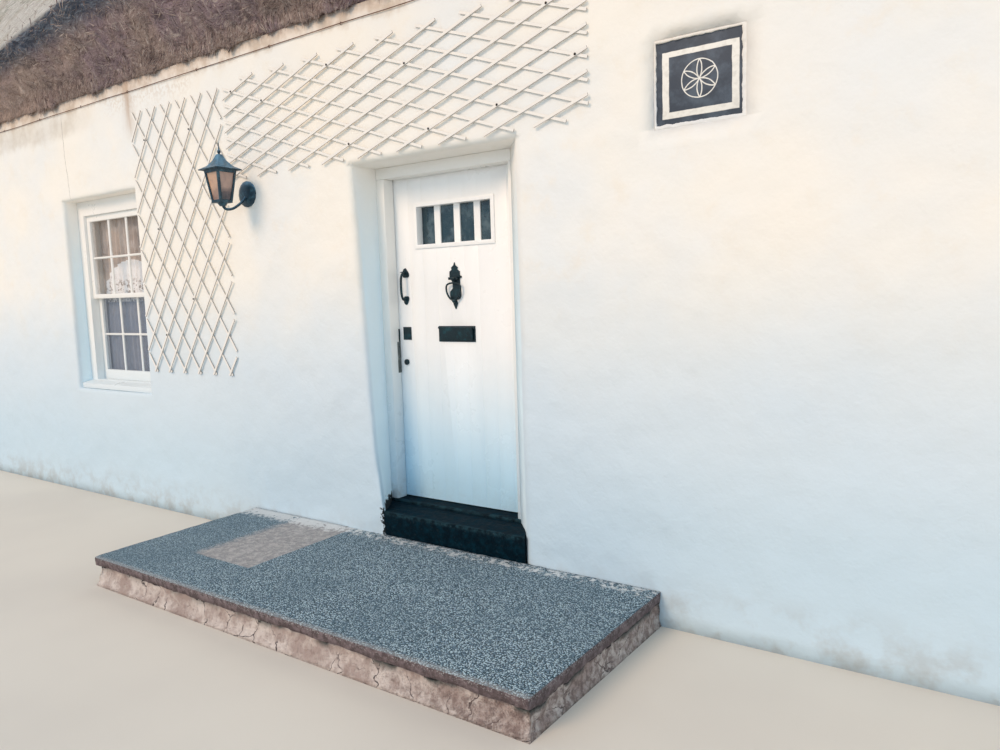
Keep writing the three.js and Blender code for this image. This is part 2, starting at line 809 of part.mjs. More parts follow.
function doorFrame() {
  const side = OPENING_HALF - SEAT_GAP;
  const rebate = LEAF_HALF + MOVING_GAP;
  const sight = FLOOR_LEVEL + LEAF_SIGHT_HEIGHT;
  const depths = [FRAME_FACE_DEPTH, FRAME_BACK_DEPTH];
  const jamb = [
    [-side, FRAME_FACE_DEPTH],
    [-SIGHT_HALF, FRAME_FACE_DEPTH],
    [-SIGHT_HALF, STOP_BACK],
    [-rebate, STOP_BACK],
    [-rebate, FRAME_BACK_DEPTH],
    [-side, FRAME_BACK_DEPTH],
  ];
  const mirrored = jamb.map(([x, y]) => [-x, y]).reverse();
  const heights = [SILL_TOP + SEAT_GAP, sight - SEAT_GAP];
  add("door_jamb_left", "white_paint", runAlongZ(outline(jamb), heights));
  add("door_jamb_right", "white_paint", runAlongZ(outline(mirrored), heights));
  const beam = block([-side, side], depths, [sight, OPENING_TOP - SEAT_GAP]);
  const roomDepths = [STOP_BACK, FRAME_BACK_DEPTH + TOOL_OVERRUN];
  const leafRoom = block([-rebate, rebate], roomDepths, [0, LEAF_TOP + MOVING_GAP]);
  add("door_head", "white_paint", cut(beam, leafRoom));
  const sillDepth = [STEP_DEPTH + SEAT_GAP, FRAME_BACK_DEPTH - SEAT_GAP];
  add("door_sill", "step_paint", block([-side, side], sillDepth, [SILL_TOP - SILL_HEIGHT, SILL_TOP]));
}

// Door leaf and its furniture

function leafHeight(h) {
  return FLOOR_LEVEL + h;
}

function doorLeaf() {
  const body = block([-LEAF_HALF, LEAF_HALF], [LEAF_FACE_DEPTH, FRAME_BACK_DEPTH], [FLOOR_LEVEL, LEAF_TOP]);
  const z = [leafHeight(LIGHT.bottom), leafHeight(LIGHT.bottom + LIGHT.height)];
  const barFront = LEAF_FACE_DEPTH + LIGHT.setBack;
  const barBack = barFront + LIGHT.barDepth;
  const through = [LEAF_FACE_DEPTH - TOOL_OVERRUN, FRAME_BACK_DEPTH + TOOL_OVERRUN];
  const light = block([-LIGHT.width / 2, LIGHT.width / 2], through, z);
  const slotZ = leafHeight(LETTER.centre);
  const slot = block(
    [-LETTER.slotWidth / 2, LETTER.slotWidth / 2],
    through,
    [slotZ - LETTER.slotHeight / 2, slotZ + LETTER.slotHeight / 2],
  );
  const pane = (LIGHT.width - LIGHT.bars * LIGHT.barWidth) / (LIGHT.bars + 1);
  const barHeights = [z[0] - LIGHT.barTenon, z[1] + LIGHT.barTenon];
  const bars = [];
  for (let i = 0; i < LIGHT.bars; i++) {
    const x = -LIGHT.width / 2 + pane * (i + 1) + LIGHT.barWidth * i;
    bars.push(block([x, x + LIGHT.barWidth], [barFront, barBack], barHeights));
  }
  add("door_leaf", "white_paint", joined(cut(body, light, slot), ...bars));
  const glass = [barBack + SEAT_GAP, barBack + SEAT_GAP + GLASS];
  const half = LIGHT.width / 2 - SEAT_GAP;
  add("door_glass", "clear_glass", block([-half, half], glass, [z[0] + SEAT_GAP, z[1] - SEAT_GAP]));
}

function pullHandle() {
  const face = LEAF_FACE_DEPTH - SEAT_GAP;
  const padRise = HANDLE.padRadius * HANDLE.padStretch;
  const top = leafHeight(HANDLE.top) - padRise;
  const bottom = leafHeight(HANDLE.bottom) + padRise;
  const bend = HANDLE.bendDrop - padRise;
  const points = [
    [HANDLE.x, face - HANDLE.padThickness / 2, top],
    [HANDLE.x, face - HANDLE.bendReach, top - bend],
    [HANDLE.x, face - HANDLE.reach, (top + bottom) / 2],
    [HANDLE.x, face - HANDLE.bendReach, bottom + bend],
    [HANDLE.x, face - HANDLE.padThickness / 2, bottom],
  ];
  const grip = curvedBar(points, HANDLE.radius, 8, 14);
  const pads = [top, bottom].map((z) => {
    const pad = new THREE.CylinderGeometry(HANDLE.padRadius, HANDLE.padRadius, HANDLE.padThickness, 10);
    return pad.scale(1, 1, HANDLE.padStretch).translate(HANDLE.x, face - HANDLE.padThickness / 2, z);
  });
  add("pull_handle", "black_iron", joined(grip, ...pads));
}

function lockPieces() {
  const face = LEAF_FACE_DEPTH - SEAT_GAP;
  const z = leafHeight(LOCK_PLATE.centre);
  const plate = block(
    [LOCK_PLATE.x - LOCK_PLATE.width / 2, LOCK_PLATE.x + LOCK_PLATE.width / 2],
    [face - LOCK_PLATE.thickness, face],
    [z - LOCK_PLATE.height / 2, z + LOCK_PLATE.height / 2],
  );
  add("lock_plate", "black_iron", plate);
  const { x, centre, radius, proud } = LOCK_CYLINDER;
  const height = leafHeight(centre);
  add("lock_cylinder", "black_iron", rod([x, face, height], [x, face - proud, height], radius, 16));
}

// The knocker: a pointed back plate with two ears, and a striker that hangs on a rod between them.
function knocker() {
  const face = LEAF_FACE_DEPTH - SEAT_GAP;
  const bottom = leafHeight(KNOCKER.bottom);
  const pivot = leafHeight(KNOCKER.pivot);
  const low = bottom + KNOCKER.anvilRise;
  const depth = face - KNOCKER.pinDepth;
  const plateFront = face - KNOCKER.plate;
  const rightSide = KNOCKER_OUTLINE.map(([x, rise]) => [x, bottom + rise]);
  const leftSide = rightSide.slice(1, -1).map(([x, z]) => [-x, z]);
  const plate = runAlongY(outline([...leftSide, ...rightSide.reverse()]), [plateFront, face]);
  const across = (half, radius, sides) => rod([-half, depth, pivot], [half, depth, pivot], radius, sides);
  const earDepths = [depth - KNOCKER.earHalf, plateFront + SEAT_GAP];
  const earHeights = [pivot - KNOCKER.earHalf, pivot + KNOCKER.earHalf];
  const ears = [
    block([KNOCKER.earInner, KNOCKER.earOuter], earDepths, earHeights),
    block([-KNOCKER.earOuter, -KNOCKER.earInner], earDepths, earHeights),
  ];
  const pin = across((KNOCKER.earInner + KNOCKER.earOuter) / 2, KNOCKER.pinRadius, 10);
  const anvil = rod([0, plateFront + 1, low], [0, face - KNOCKER.anvilProud, low], KNOCKER.anvilRadius, 10);
  add("knocker_plate", "black_iron", joined(plate, ...ears, pin, anvil));
  const sleeve = cut(
    across(KNOCKER.sleeveHalf, KNOCKER.sleeveRadius, 12),
    across(KNOCKER.earInner, KNOCKER.boreRadius, 10),
  );
  const arm = block(
    [-KNOCKER.armHalf, KNOCKER.armHalf],
    [depth - KNOCKER.armDepth, depth + KNOCKER.armDepth],
    [pivot - STRIKER_WING[0][1] - KNOCKER.wingRadius, pivot - KNOCKER.armHalf],
  );
  const wings = [1, -1].map((side) => {
    const route = STRIKER_WING.map(([x, drop]) => [side * x, depth, pivot - drop]);
    return curvedBar(route, KNOCKER.wingRadius, 8, 14);
  });
  const knob = new THREE.SphereGeometry(KNOCKER.knobRadius, 12, 8);
  knob.scale(1, 0.65, 1).translate(0, depth, low);
  add("knocker_striker", "black_iron", joined(sleeve, arm, ...wings, knob));
}

// The letter plate frames the slot, and its flap hangs on a rod along the top.
function letterPlate() {
  const face = LEAF_FACE_DEPTH - SEAT_GAP;
  const z = leafHeight(LETTER.centre);
  const width = LETTER.width / 2;
  const height = LETTER.height / 2;
  const slotHalf = LETTER.slotWidth / 2;
  const slotRise = LETTER.slotHeight / 2;
  const plateFront = face - LETTER.plate;
  const back = block([-width, width], [plateFront, face], [z - height, z + height]);
  const through = [plateFront - TOOL_OVERRUN, face + TOOL_OVERRUN];
  const slot = block([-slotHalf, slotHalf], through, [z - slotRise, z + slotRise]);
  const pivot = z + height - LETTER.pinDrop;
  const depth = face - LETTER.pinDepth;
  const across = (half, radius, sides) => rod([-half, depth, pivot], [half, depth, pivot], radius, sides);
  const earOuter = width - LETTER.earInset;
  const earInner = earOuter - LETTER.earWidth;
  const earDepths = [depth - LETTER.earHalf + 1, plateFront + 1];
  const earHeights = [pivot - LETTER.earHalf, pivot + LETTER.earHalf];
  const ears = [
    block([earInner, earOuter], earDepths, earHeights),
    block([-earOuter, -earInner], earDepths, earHeights),
  ];
  const pin = across((earInner + earOuter) / 2, LETTER.pinRadius, 8);
  add("letter_plate", "black_iron", joined(cut(back, slot), ...ears, pin));
  const reach = earInner - LETTER.flapSideGap;
  const sleeve = across(reach, LETTER.sleeveRadius, 10);
  const bore = across(width, LETTER.boreRadius, 8);
  const flapHeights = [z - height + LETTER.flapFoot, pivot];
  const flap = block([-reach, reach], [depth - LETTER.flapThickness, depth], flapHeights);
  add("letter_flap", "black_iron", cut(joined(sleeve, flap), bore));
}

// An upright rod on a hinge's axis
function onHingeAxis(radius, z, sides) {
  return rod([HINGE_X, HINGE_DEPTH, z[0]], [HINGE_X, HINGE_DEPTH, z[1]], radius, sides);
}

function hinges() {
  const inside = FRAME_BACK_DEPTH + SEAT_GAP;
  const web = HINGE.webHalf;
  const half = HINGE.knuckleHalf;
  const bandDepths = [inside, inside + HINGE.strapThickness];
  for (const [level, h] of Object.entries(HINGE_HEIGHTS)) {
    const z = leafHeight(h);
    const knuckle = onHingeAxis(HINGE.knuckleRadius, [z - half, z + half], 12);
    const bore = onHingeAxis(HINGE.boreRadius, [z - half - TOOL_OVERRUN, z + half + TOOL_OVERRUN], 10);
    const upperEdge = STRAP_OUTLINE.map(([run, rise]) => [HINGE_X - run, z + rise]);
    const lowerEdge = STRAP_OUTLINE.slice(0, -1).map(([run, rise]) => [HINGE_X - run, z - rise]);
    const band = runAlongY(outline([...upperEdge.reverse(), ...lowerEdge]), bandDepths);
    add(`hinge_strap_${level}`, "black_iron", cut(joined(knuckle, band), bore));
    const shelfHeights = [z - HINGE.shelf, z - HINGE.shelfTop];
    const shelfDepths = [HINGE_DEPTH - web, HINGE_DEPTH + web];
    const pin = onHingeAxis(HINGE.pinRadius, [z - HINGE.pinFoot, z + half], 10);
    const shelf = block([HINGE_X - web, HINGE_X + HINGE.webFar], shelfDepths, shelfHeights);
    const plateX = [HINGE_X + HINGE.plateNear, HINGE_X + HINGE.plateFar];
    const plate = block(plateX, bandDepths, [z - HINGE.plateHalf, z + HINGE.plateHalf]);
    const bracketX = [HINGE_X + HINGE.plateNear, HINGE_X + HINGE.webFar];
    const bracket = block(bracketX, [inside, HINGE_DEPTH + web], shelfHeights);
    add(`hinge_plate_${level}`, "black_iron", joined(pin, shelf, plate, bracket));
  }
}

// Windows

function ring(half, z, y, stile, bottomRail, topRail) {
  const body = block([-half, half], y, z);
  const through = [y[0] - TOOL_OVERRUN, y[1] + TOOL_OVERRUN];
  const hole = block([-half + stile, half - stile], through, [z[0] + bottomRail, z[1] - topRail]);
  return cut(body, hole);
}

function windowFrameAt() {
  const half = WINDOW_HALF - SEAT_GAP;
  const y = [WINDOW_FACE_DEPTH, WINDOW_FACE_DEPTH + WINDOW_FRAME_DEPTH];
  const z = [WINDOW_BOTTOM + SEAT_GAP, WINDOW_TOP - SEAT_GAP];
  const stile = half - SASH_HALF - SEAT_GAP;
  const frame = ring(half, z, y, stile, SASH_BOTTOM - SEAT_GAP - z[0], z[1] - SASH_TOP - SEAT_GAP);
  const sill = outline([
    [WINDOW_SILL.front, z[0]],
    [WINDOW_FACE_DEPTH + WINDOW_SILL.lap, z[0]],
    [WINDOW_FACE_DEPTH + WINDOW_SILL.lap, WINDOW_SILL.top],
    [WINDOW_SILL.front, WINDOW_SILL.top - WINDOW_SILL.fall],
  ]);
  return joined(frame, runAlongX(sill, [-half, half]));
}

function sashParts() {
  const outer = WINDOW_FACE_DEPTH + SASH_SET_BACK;
  const upperY = [outer, outer + SASH_THICKNESS];
  const lowerY = [upperY[1] + SASH_GAP, upperY[1] + SASH_GAP + SASH_THICKNESS];
  const upperZ = [SASH_MEETING - MEETING_RAIL / 2, SASH_TOP];
  const lowerZ = [SASH_BOTTOM, SASH_MEETING + MEETING_RAIL / 2];
  const glass = (y, z, low, high) => {
    const half = SASH_HALF - STILE - SEAT_GAP;
    const middle = (y[0] + y[1]) / 2;
    const depths = [middle - GLASS / 2, middle + GLASS / 2];
    return block([-half, half], depths, [z[0] + low + SEAT_GAP, z[1] - high - SEAT_GAP]);
  };
  return {
    upper: ring(SASH_HALF, upperZ, upperY, STILE, MEETING_RAIL, STILE),
    lower: ring(SASH_HALF, lowerZ, lowerY, STILE, BOTTOM_RAIL, MEETING_RAIL),
    upperGlass: glass(upperY, upperZ, MEETING_RAIL, STILE),
    lowerGlass: glass(lowerY, lowerZ, BOTTOM_RAIL, MEETING_RAIL),
  };
}

function netCurtain() {
  const front = WINDOW_FACE_DEPTH + SASH_SET_BACK + 2 * SASH_THICKNESS + SASH_GAP + CURTAIN.clearance;
  const z = [SASH_BOTTOM + CURTAIN.foot, SASH_TOP - CURTAIN.head];
  return block([-SASH_HALF, SASH_HALF], [front, front + CURTAIN.depth], z);
}

function windows() {
  for (const [side, x] of [["left", -WINDOW_CENTRE], ["right", WINDOW_CENTRE]]) {
    const parts = sashParts();
    add(`${side}_window_frame`, "white_paint", windowFrameAt().translate(x, 0, 0));
    add(`${side}_upper_sash`, "white_paint", parts.upper.translate(x, 0, 0));
    add(`${side}_lower_sash`, "white_paint", parts.lower.translate(x, 0, 0));
    add(`${side}_upper_panes`, "clear_glass", parts.upperGlass.translate(x, 0, 0));
    add(`${side}_lower_panes`, "clear_glass", parts.lowerGlass.translate(x, 0, 0));
    add(`${side}_net_curtain`, "net_lace", netCurtain().translate(x, 0, 0));
    const backFrame = backWindowFrame().translate(-x, 0, 0);
    add(`back_${side}_window`, "white_paint", toBack(backFrame));
    add(`back_${side}_panes`, "clear_glass", toBack(backWindowGlass().translate(-x, 0, 0)));
  }
}

// A back window's frame and both of its sashes as one piece, with one sheet of glass behind them.
function backWindowFrame() {
  const parts = sashParts();
  const sashDepth = WINDOW_FACE_DEPTH + SASH_SET_BACK;
  const lap = BACK_WINDOW_LAP;
  const bridge = block(
    [-SASH_HALF, SASH_HALF],
    [sashDepth + SASH_THICKNESS / 2, sashDepth + SASH_THICKNESS * 1.5],
    [SASH_MEETING - MEETING_RAIL / 2 + lap, SASH_MEETING + MEETING_RAIL / 2 - lap],
  );
  const half = WINDOW_HALF - SEAT_GAP;
  const y = [sashDepth, sashDepth + 2 * SASH_THICKNESS];
  const z = [WINDOW_BOTTOM + SEAT_GAP, WINDOW_TOP - SEAT_GAP];
  const liner = ring(half, z, y, half - SASH_HALF + lap, SASH_BOTTOM - z[0] + lap, z[1] - SASH_TOP + lap);
  return joined(windowFrameAt(), liner, parts.upper, parts.lower, bridge);
}

function backWindowGlass() {
  const front = WINDOW_FACE_DEPTH + SASH_SET_BACK + 2 * SASH_THICKNESS + SASH_GAP + SEAT_GAP;
  return block([-SASH_HALF, SASH_HALF], [front, front + GLASS], [SASH_BOTTOM, SASH_TOP]);
}

// Fittings on the front wall

function plaque() {
  const { x, z } = PLAQUE_CENTRE;
  const { width, height, thickness } = PLAQUE_SIZE;
  const back = PLAQUE_RECESS.depth - SEAT_GAP;
  const breadth = [x - width / 2, x + width / 2];
  const slab = block(breadth, [back - thickness, back], [z - height / 2, z + height / 2]);
  add("plaque", "plaque_slate", slab);
}

// One layer of parallel slats of an expanding trellis, clipped to its field.
function slatLayer(field, direction, depth) {
  const { left, right, bottom, top, diamond, node } = field;
  const [w, h] = diamond;
  const slope = (direction * h) / w;
  const slats = [];
  const count = Math.ceil((right - left) / w + (top - bottom) / h) + 1;
  for (let k = -count; k <= count; k++) {
    const x0 = node[0] + k * w;
    const z0 = node[1];
    const atZ = (z) => x0 + (z - z0) / slope;
    const low = Math.max(left, Math.min(atZ(bottom), atZ(top)));
    const high = Math.min(right, Math.max(atZ(bottom), atZ(top)));
    if (high - low < w * SHORTEST_SLAT) continue;
    const length = (high - low) * Math.hypot(1, slope);
    const slat = new THREE.BoxGeometry(length, SLAT_THICKNESS, SLAT_WIDTH);
    const middle = (low + high) / 2;
    slat.rotateY(-Math.atan(slope)).translate(middle, depth, z0 + (middle - x0) * slope);
    slats.push(slat);
  }
  return slats;
}

function trellis(name, field, nails) {
  const backLayer = -TRELLIS_STAND_OFF - SLAT_THICKNESS / 2;
  const frontLayer = backLayer - SLAT_THICKNESS + SLAT_HALVING;
  const slats = [...slatLayer(field, -1, backLayer), ...slatLayer(field, 1, frontLayer)];
  const [w, h] = field.diamond;
  const headDepth = frontLayer - SLAT_THICKNESS / 2 - NAIL_PROUD;
  const fixings = nails.map(([i, j]) => {
    const x = field.node[0] + (i * w) / 2;
    const z = field.node[1] - (j * h) / 2;
    return rod([x, headDepth, z], [x, -SEAT_GAP, z], NAIL_RADIUS, 6);
  });
  add(name, "white_paint", joined(...slats, ...fixings));
}

// An upright frustum with a square plan, centred on the lantern. half and z give its foot and its top.
function lanternSquare(half, z) {
  const shape = new THREE.CylinderGeometry(half[1] * Math.SQRT2, half[0] * Math.SQRT2, z[1] - z[0], 4, 1);
  shape.rotateX(Math.PI / 2).rotateZ(Math.PI / 4);
  return shape.translate(LANTERN.x, -LANTERN.standOff, (z[0] + z[1]) / 2);
}

// The lantern's body at a level, half as wide as it is there
function lanternHalfAt(z) {
  const lean = (LANTERN.topHalf - LANTERN.footHalf) / (LANTERN.bodyTop - LANTERN.base);
  return LANTERN.footHalf + (z - LANTERN.base) * lean;
}

function lanternTaper(inset, z) {
  return lanternSquare([lanternHalfAt(z[0]) - inset, lanternHalfAt(z[1]) - inset], z);
}

function lanternBracket() {
  const plate = turnedAbout(LANTERN_DOME, 16).rotateX(Math.PI / 2);
  plate.translate(LANTERN.x, -SEAT_GAP, LANTERN.plateCentre);
  const route = LANTERN_ARM.map(([out, rise]) => [LANTERN.x, -out, LANTERN.base + rise]);
  const arm = curvedBar(route, LANTERN.armRadius, 8, 16);
  const [cupFoot, cupTop] = LANTERN.cupRadii;
  const cup = new THREE.CylinderGeometry(cupTop, cupFoot, LANTERN.cupHeight, 12).rotateX(Math.PI / 2);
  cup.translate(LANTERN.x, -LANTERN.standOff, LANTERN.base - LANTERN.cupHeight / 2 - SEAT_GAP);
  add("lantern_bracket", "black_iron", joined(plate, arm, cup));
}

function lanternBody() {
  const { x, base, bodyTop, rail, bar, tin } = LANTERN;
  const y = -LANTERN.standOff;
  const low = base + rail;
  const high = bodyTop - rail;
  const panel = outline([
    [bar - lanternHalfAt(low), low],
    [lanternHalfAt(low) - bar, low],
    [lanternHalfAt(high) - bar, high],
    [bar - lanternHalfAt(high), high],
  ]);
  const past = LANTERN.topHalf + TOOL_OVERRUN;
  const frontToBack = runAlongY(panel, [y - past, y + past]).translate(x, 0, 0);
  const sideToSide = runAlongX(panel, [x - past, x + past]).translate(0, y, 0);
  const shell = lanternTaper(0, [base, bodyTop]);
  const hollow = lanternTaper(tin, [base + 2 * tin, bodyTop + tin]);
  const cage = cut(shell, hollow, frontToBack, sideToSide);
  add("lantern_cage", "black_iron", joined(cage, ...lanternRoof()));
  const outer = lanternTaper(tin + 2 * SEAT_GAP, [base + 2 * tin + SEAT_GAP, bodyTop - 1]);
  const inner = lanternTaper(tin + GLASS, [base + 2 * tin + GLASS, bodyTop + tin]);
  add("lantern_panes", "amber_glass", cut(outer, inner));
}

// The lantern's hipped roof and finial, let into the top of its cage
function lanternRoof() {
  const eaves = LANTERN.bodyTop - LANTERN_ROOF_LAP;
  const tiers = [];
  for (let i = 0; i + 1 < LANTERN_ROOF.length; i++) {
    const [lowHalf, low] = LANTERN_ROOF[i];
    const [highHalf, high] = LANTERN_ROOF[i + 1];
    const lap = i > 0 ? LANTERN_ROOF_LAP : 0;
    tiers.push(lanternSquare([lowHalf, highHalf], [eaves + low - lap, eaves + high]));
  }
  const finial = turnedAbout(LANTERN_FINIAL, 10);
  const peak = LANTERN_ROOF[LANTERN_ROOF.length - 1][1];
  finial.translate(LANTERN.x, -LANTERN.standOff, eaves + peak - 1);
  return [...tiers, finial];
}

function eavesWire() {
  const y = -WIRE_RADIUS - SEAT_GAP;
  const line = rod([-HALF_LENGTH, y, WIRE_LEVEL], [HALF_LENGTH, y, WIRE_LEVEL], WIRE_RADIUS, 8);
  add("eaves_wire", "black_iron", line);
}

frontWalls();
backWall();
gables();
doorwayFooting();
groundFloor();
thatch();
ridgeCap();
roofTimbers();
landing();
doorFrame();
doorLeaf();
pullHandle();
lockPieces();
knocker();
letterPlate();
hinges();
windows();
plaque();
trellis("wide_trellis", WIDE_TRELLIS, WIDE_TRELLIS_NAILS);
trellis("narrow_trellis", NARROW_TRELLIS, NARROW_TRELLIS_NAILS);
lanternBracket();
lanternBody();
eavesWire();

// The part's origin is the middle of its outline on the ground, with the landing and both eaves inside it.
house.position.y = (LANDING_DEPTH - EAVES_OVERHANG - HOUSE_DEPTH) / 2;
const cottage = new THREE.Group();
cottage.add(house);

export default cottage;
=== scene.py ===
"""Dresses the thatched cottage: limewashed walls, straw roof, painted joinery and ironwork.

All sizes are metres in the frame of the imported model: +X along the front, +Y to the back, +Z up. Sizes that
belong to a pattern are fields of the class that makes it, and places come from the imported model's own boxes.
"""
import logging
import math
from dataclasses import dataclass
from enum import Enum
from typing import Callable, Sequence

import bmesh
import bpy
import numpy as np
from mathutils import Matrix, Vector, noise


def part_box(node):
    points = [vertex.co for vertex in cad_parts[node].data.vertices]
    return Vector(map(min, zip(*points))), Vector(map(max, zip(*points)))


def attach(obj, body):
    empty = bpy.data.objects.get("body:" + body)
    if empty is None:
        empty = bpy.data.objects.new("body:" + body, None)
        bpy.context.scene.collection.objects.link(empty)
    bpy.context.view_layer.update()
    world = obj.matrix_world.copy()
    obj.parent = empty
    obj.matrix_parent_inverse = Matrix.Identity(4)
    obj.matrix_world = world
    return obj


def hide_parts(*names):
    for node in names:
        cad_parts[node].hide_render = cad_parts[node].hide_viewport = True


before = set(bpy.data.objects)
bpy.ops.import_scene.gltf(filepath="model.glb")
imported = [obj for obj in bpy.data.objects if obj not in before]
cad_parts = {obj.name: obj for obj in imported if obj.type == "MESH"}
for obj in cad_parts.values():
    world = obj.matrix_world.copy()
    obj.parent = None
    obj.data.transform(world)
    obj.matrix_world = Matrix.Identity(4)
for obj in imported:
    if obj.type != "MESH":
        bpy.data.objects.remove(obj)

LOG = logging.getLogger("cottage")
# The front wall's face, the house's depth, the top of its walls, and the gap between touching pieces
FRONT, DEPTH, WALL_TOP, GAP = -2.330, 5.4, 3.010, 0.0003
# A distance past every piece, for cuts that run right through
FAR = 9.0
Colour = tuple[float, float, float, float]
Point = tuple[float, float, float]
Mesh = bpy.types.Mesh
Material = bpy.types.Material


def shade(hex_colour: str) -> Colour:
    """Return the linear colour of a six-figure screen colour."""
    parts = [int(hex_colour[i:i + 2], 16) / 255 for i in (0, 2, 4)]
    linear = [p / 12.92 if p <= 0.04045 else ((p + 0.055) / 1.055) ** 2.4 for p in parts]
    return (linear[0], linear[1], linear[2], 1.0)


class Body(Enum):
    """The bodies that pieces ride on."""

    HOUSE = "root"
    DOOR = "front_door"
    KNOCKER = "knocker"
    FLAP = "letter_flap_body"


# Node trees


class Pattern:
    """A value that varies over a surface or a mesh, open to plus, minus, times and divided by."""

    def __init__(self, bench: "Bench", socket: bpy.types.NodeSocket) -> None:
        """Keep the bench and the socket that the value comes from."""
        self.bench, self.socket = bench, socket

    def also(self, output: int | str) -> "Pattern":
        """Return another output of the same node."""
        return Pattern(self.bench, self.socket.node.outputs[output])

    def __add__(self, other: object) -> "Pattern":
        """Return the sum."""
        return self.bench.math("ADD", self, other)

    def __sub__(self, other: object) -> "Pattern":
        """Return the difference."""
        return self.bench.math("SUBTRACT", self, other)

    def __rsub__(self, other: object) -> "Pattern":
        """Return a number less the value."""
        return self.bench.math("SUBTRACT", other, self)

    def __mul__(self, other: object) -> "Pattern":
        """Return the product."""
        return self.bench.math("MULTIPLY", self, other)

    def __truediv__(self, other: object) -> "Pattern":
        """Return the quotient."""
        return self.bench.math("DIVIDE", self, other)

    def __abs__(self) -> "Pattern":
        """Return the value without its sign."""
        return self.bench.math("ABSOLUTE", self)


class Bench:
    """A node tree under construction."""

    start = "ShaderNode"

    def __init__(self, tree: bpy.types.NodeTree) -> None:
        """Take up the tree."""
        self.tree = tree

    def node(self, kind: str, inputs: dict | None = None, out: int | str = 0, **settings: object) -> Pattern:
        """Add a node.

        Args:
            kind: the node's full type, or the part after the tree's usual start.
            inputs: a value, a pattern or a colour for each input, by name or number.
            out: the output that is wanted, by name or number.
            settings: the node's own options.

        Returns:
            The output.
        """
        full = kind.startswith(("ShaderNode", "FunctionNode"))
        made = self.tree.nodes.new(kind if full else self.start + kind)
        for key, value in settings.items():
            setattr(made, key, value)
        for key, value in (inputs or {}).items():
            self.feed(made.inputs[key], value)
        return Pattern(self, made.outputs[out])

    def feed(self, socket: bpy.types.NodeSocket, value: object) -> None:
        """Link a pattern to an input, or set its value, where a colour may be six figures of a screen colour.

        Args:
            socket: the input.
            value: the pattern, number, vector, name or colour.
        """
        if isinstance(value, Pattern):
            self.tree.links.new(value.socket, socket)
        elif socket.type == "RGBA" and isinstance(value, str):
            socket.default_value = shade(value)
        else:
            socket.default_value = value

    def math(self, operation: str, *values: object) -> Pattern:
        """Return a sum, product or other operation on values or patterns."""
        return self.node("ShaderNodeMath", dict(enumerate(values)), operation=operation)


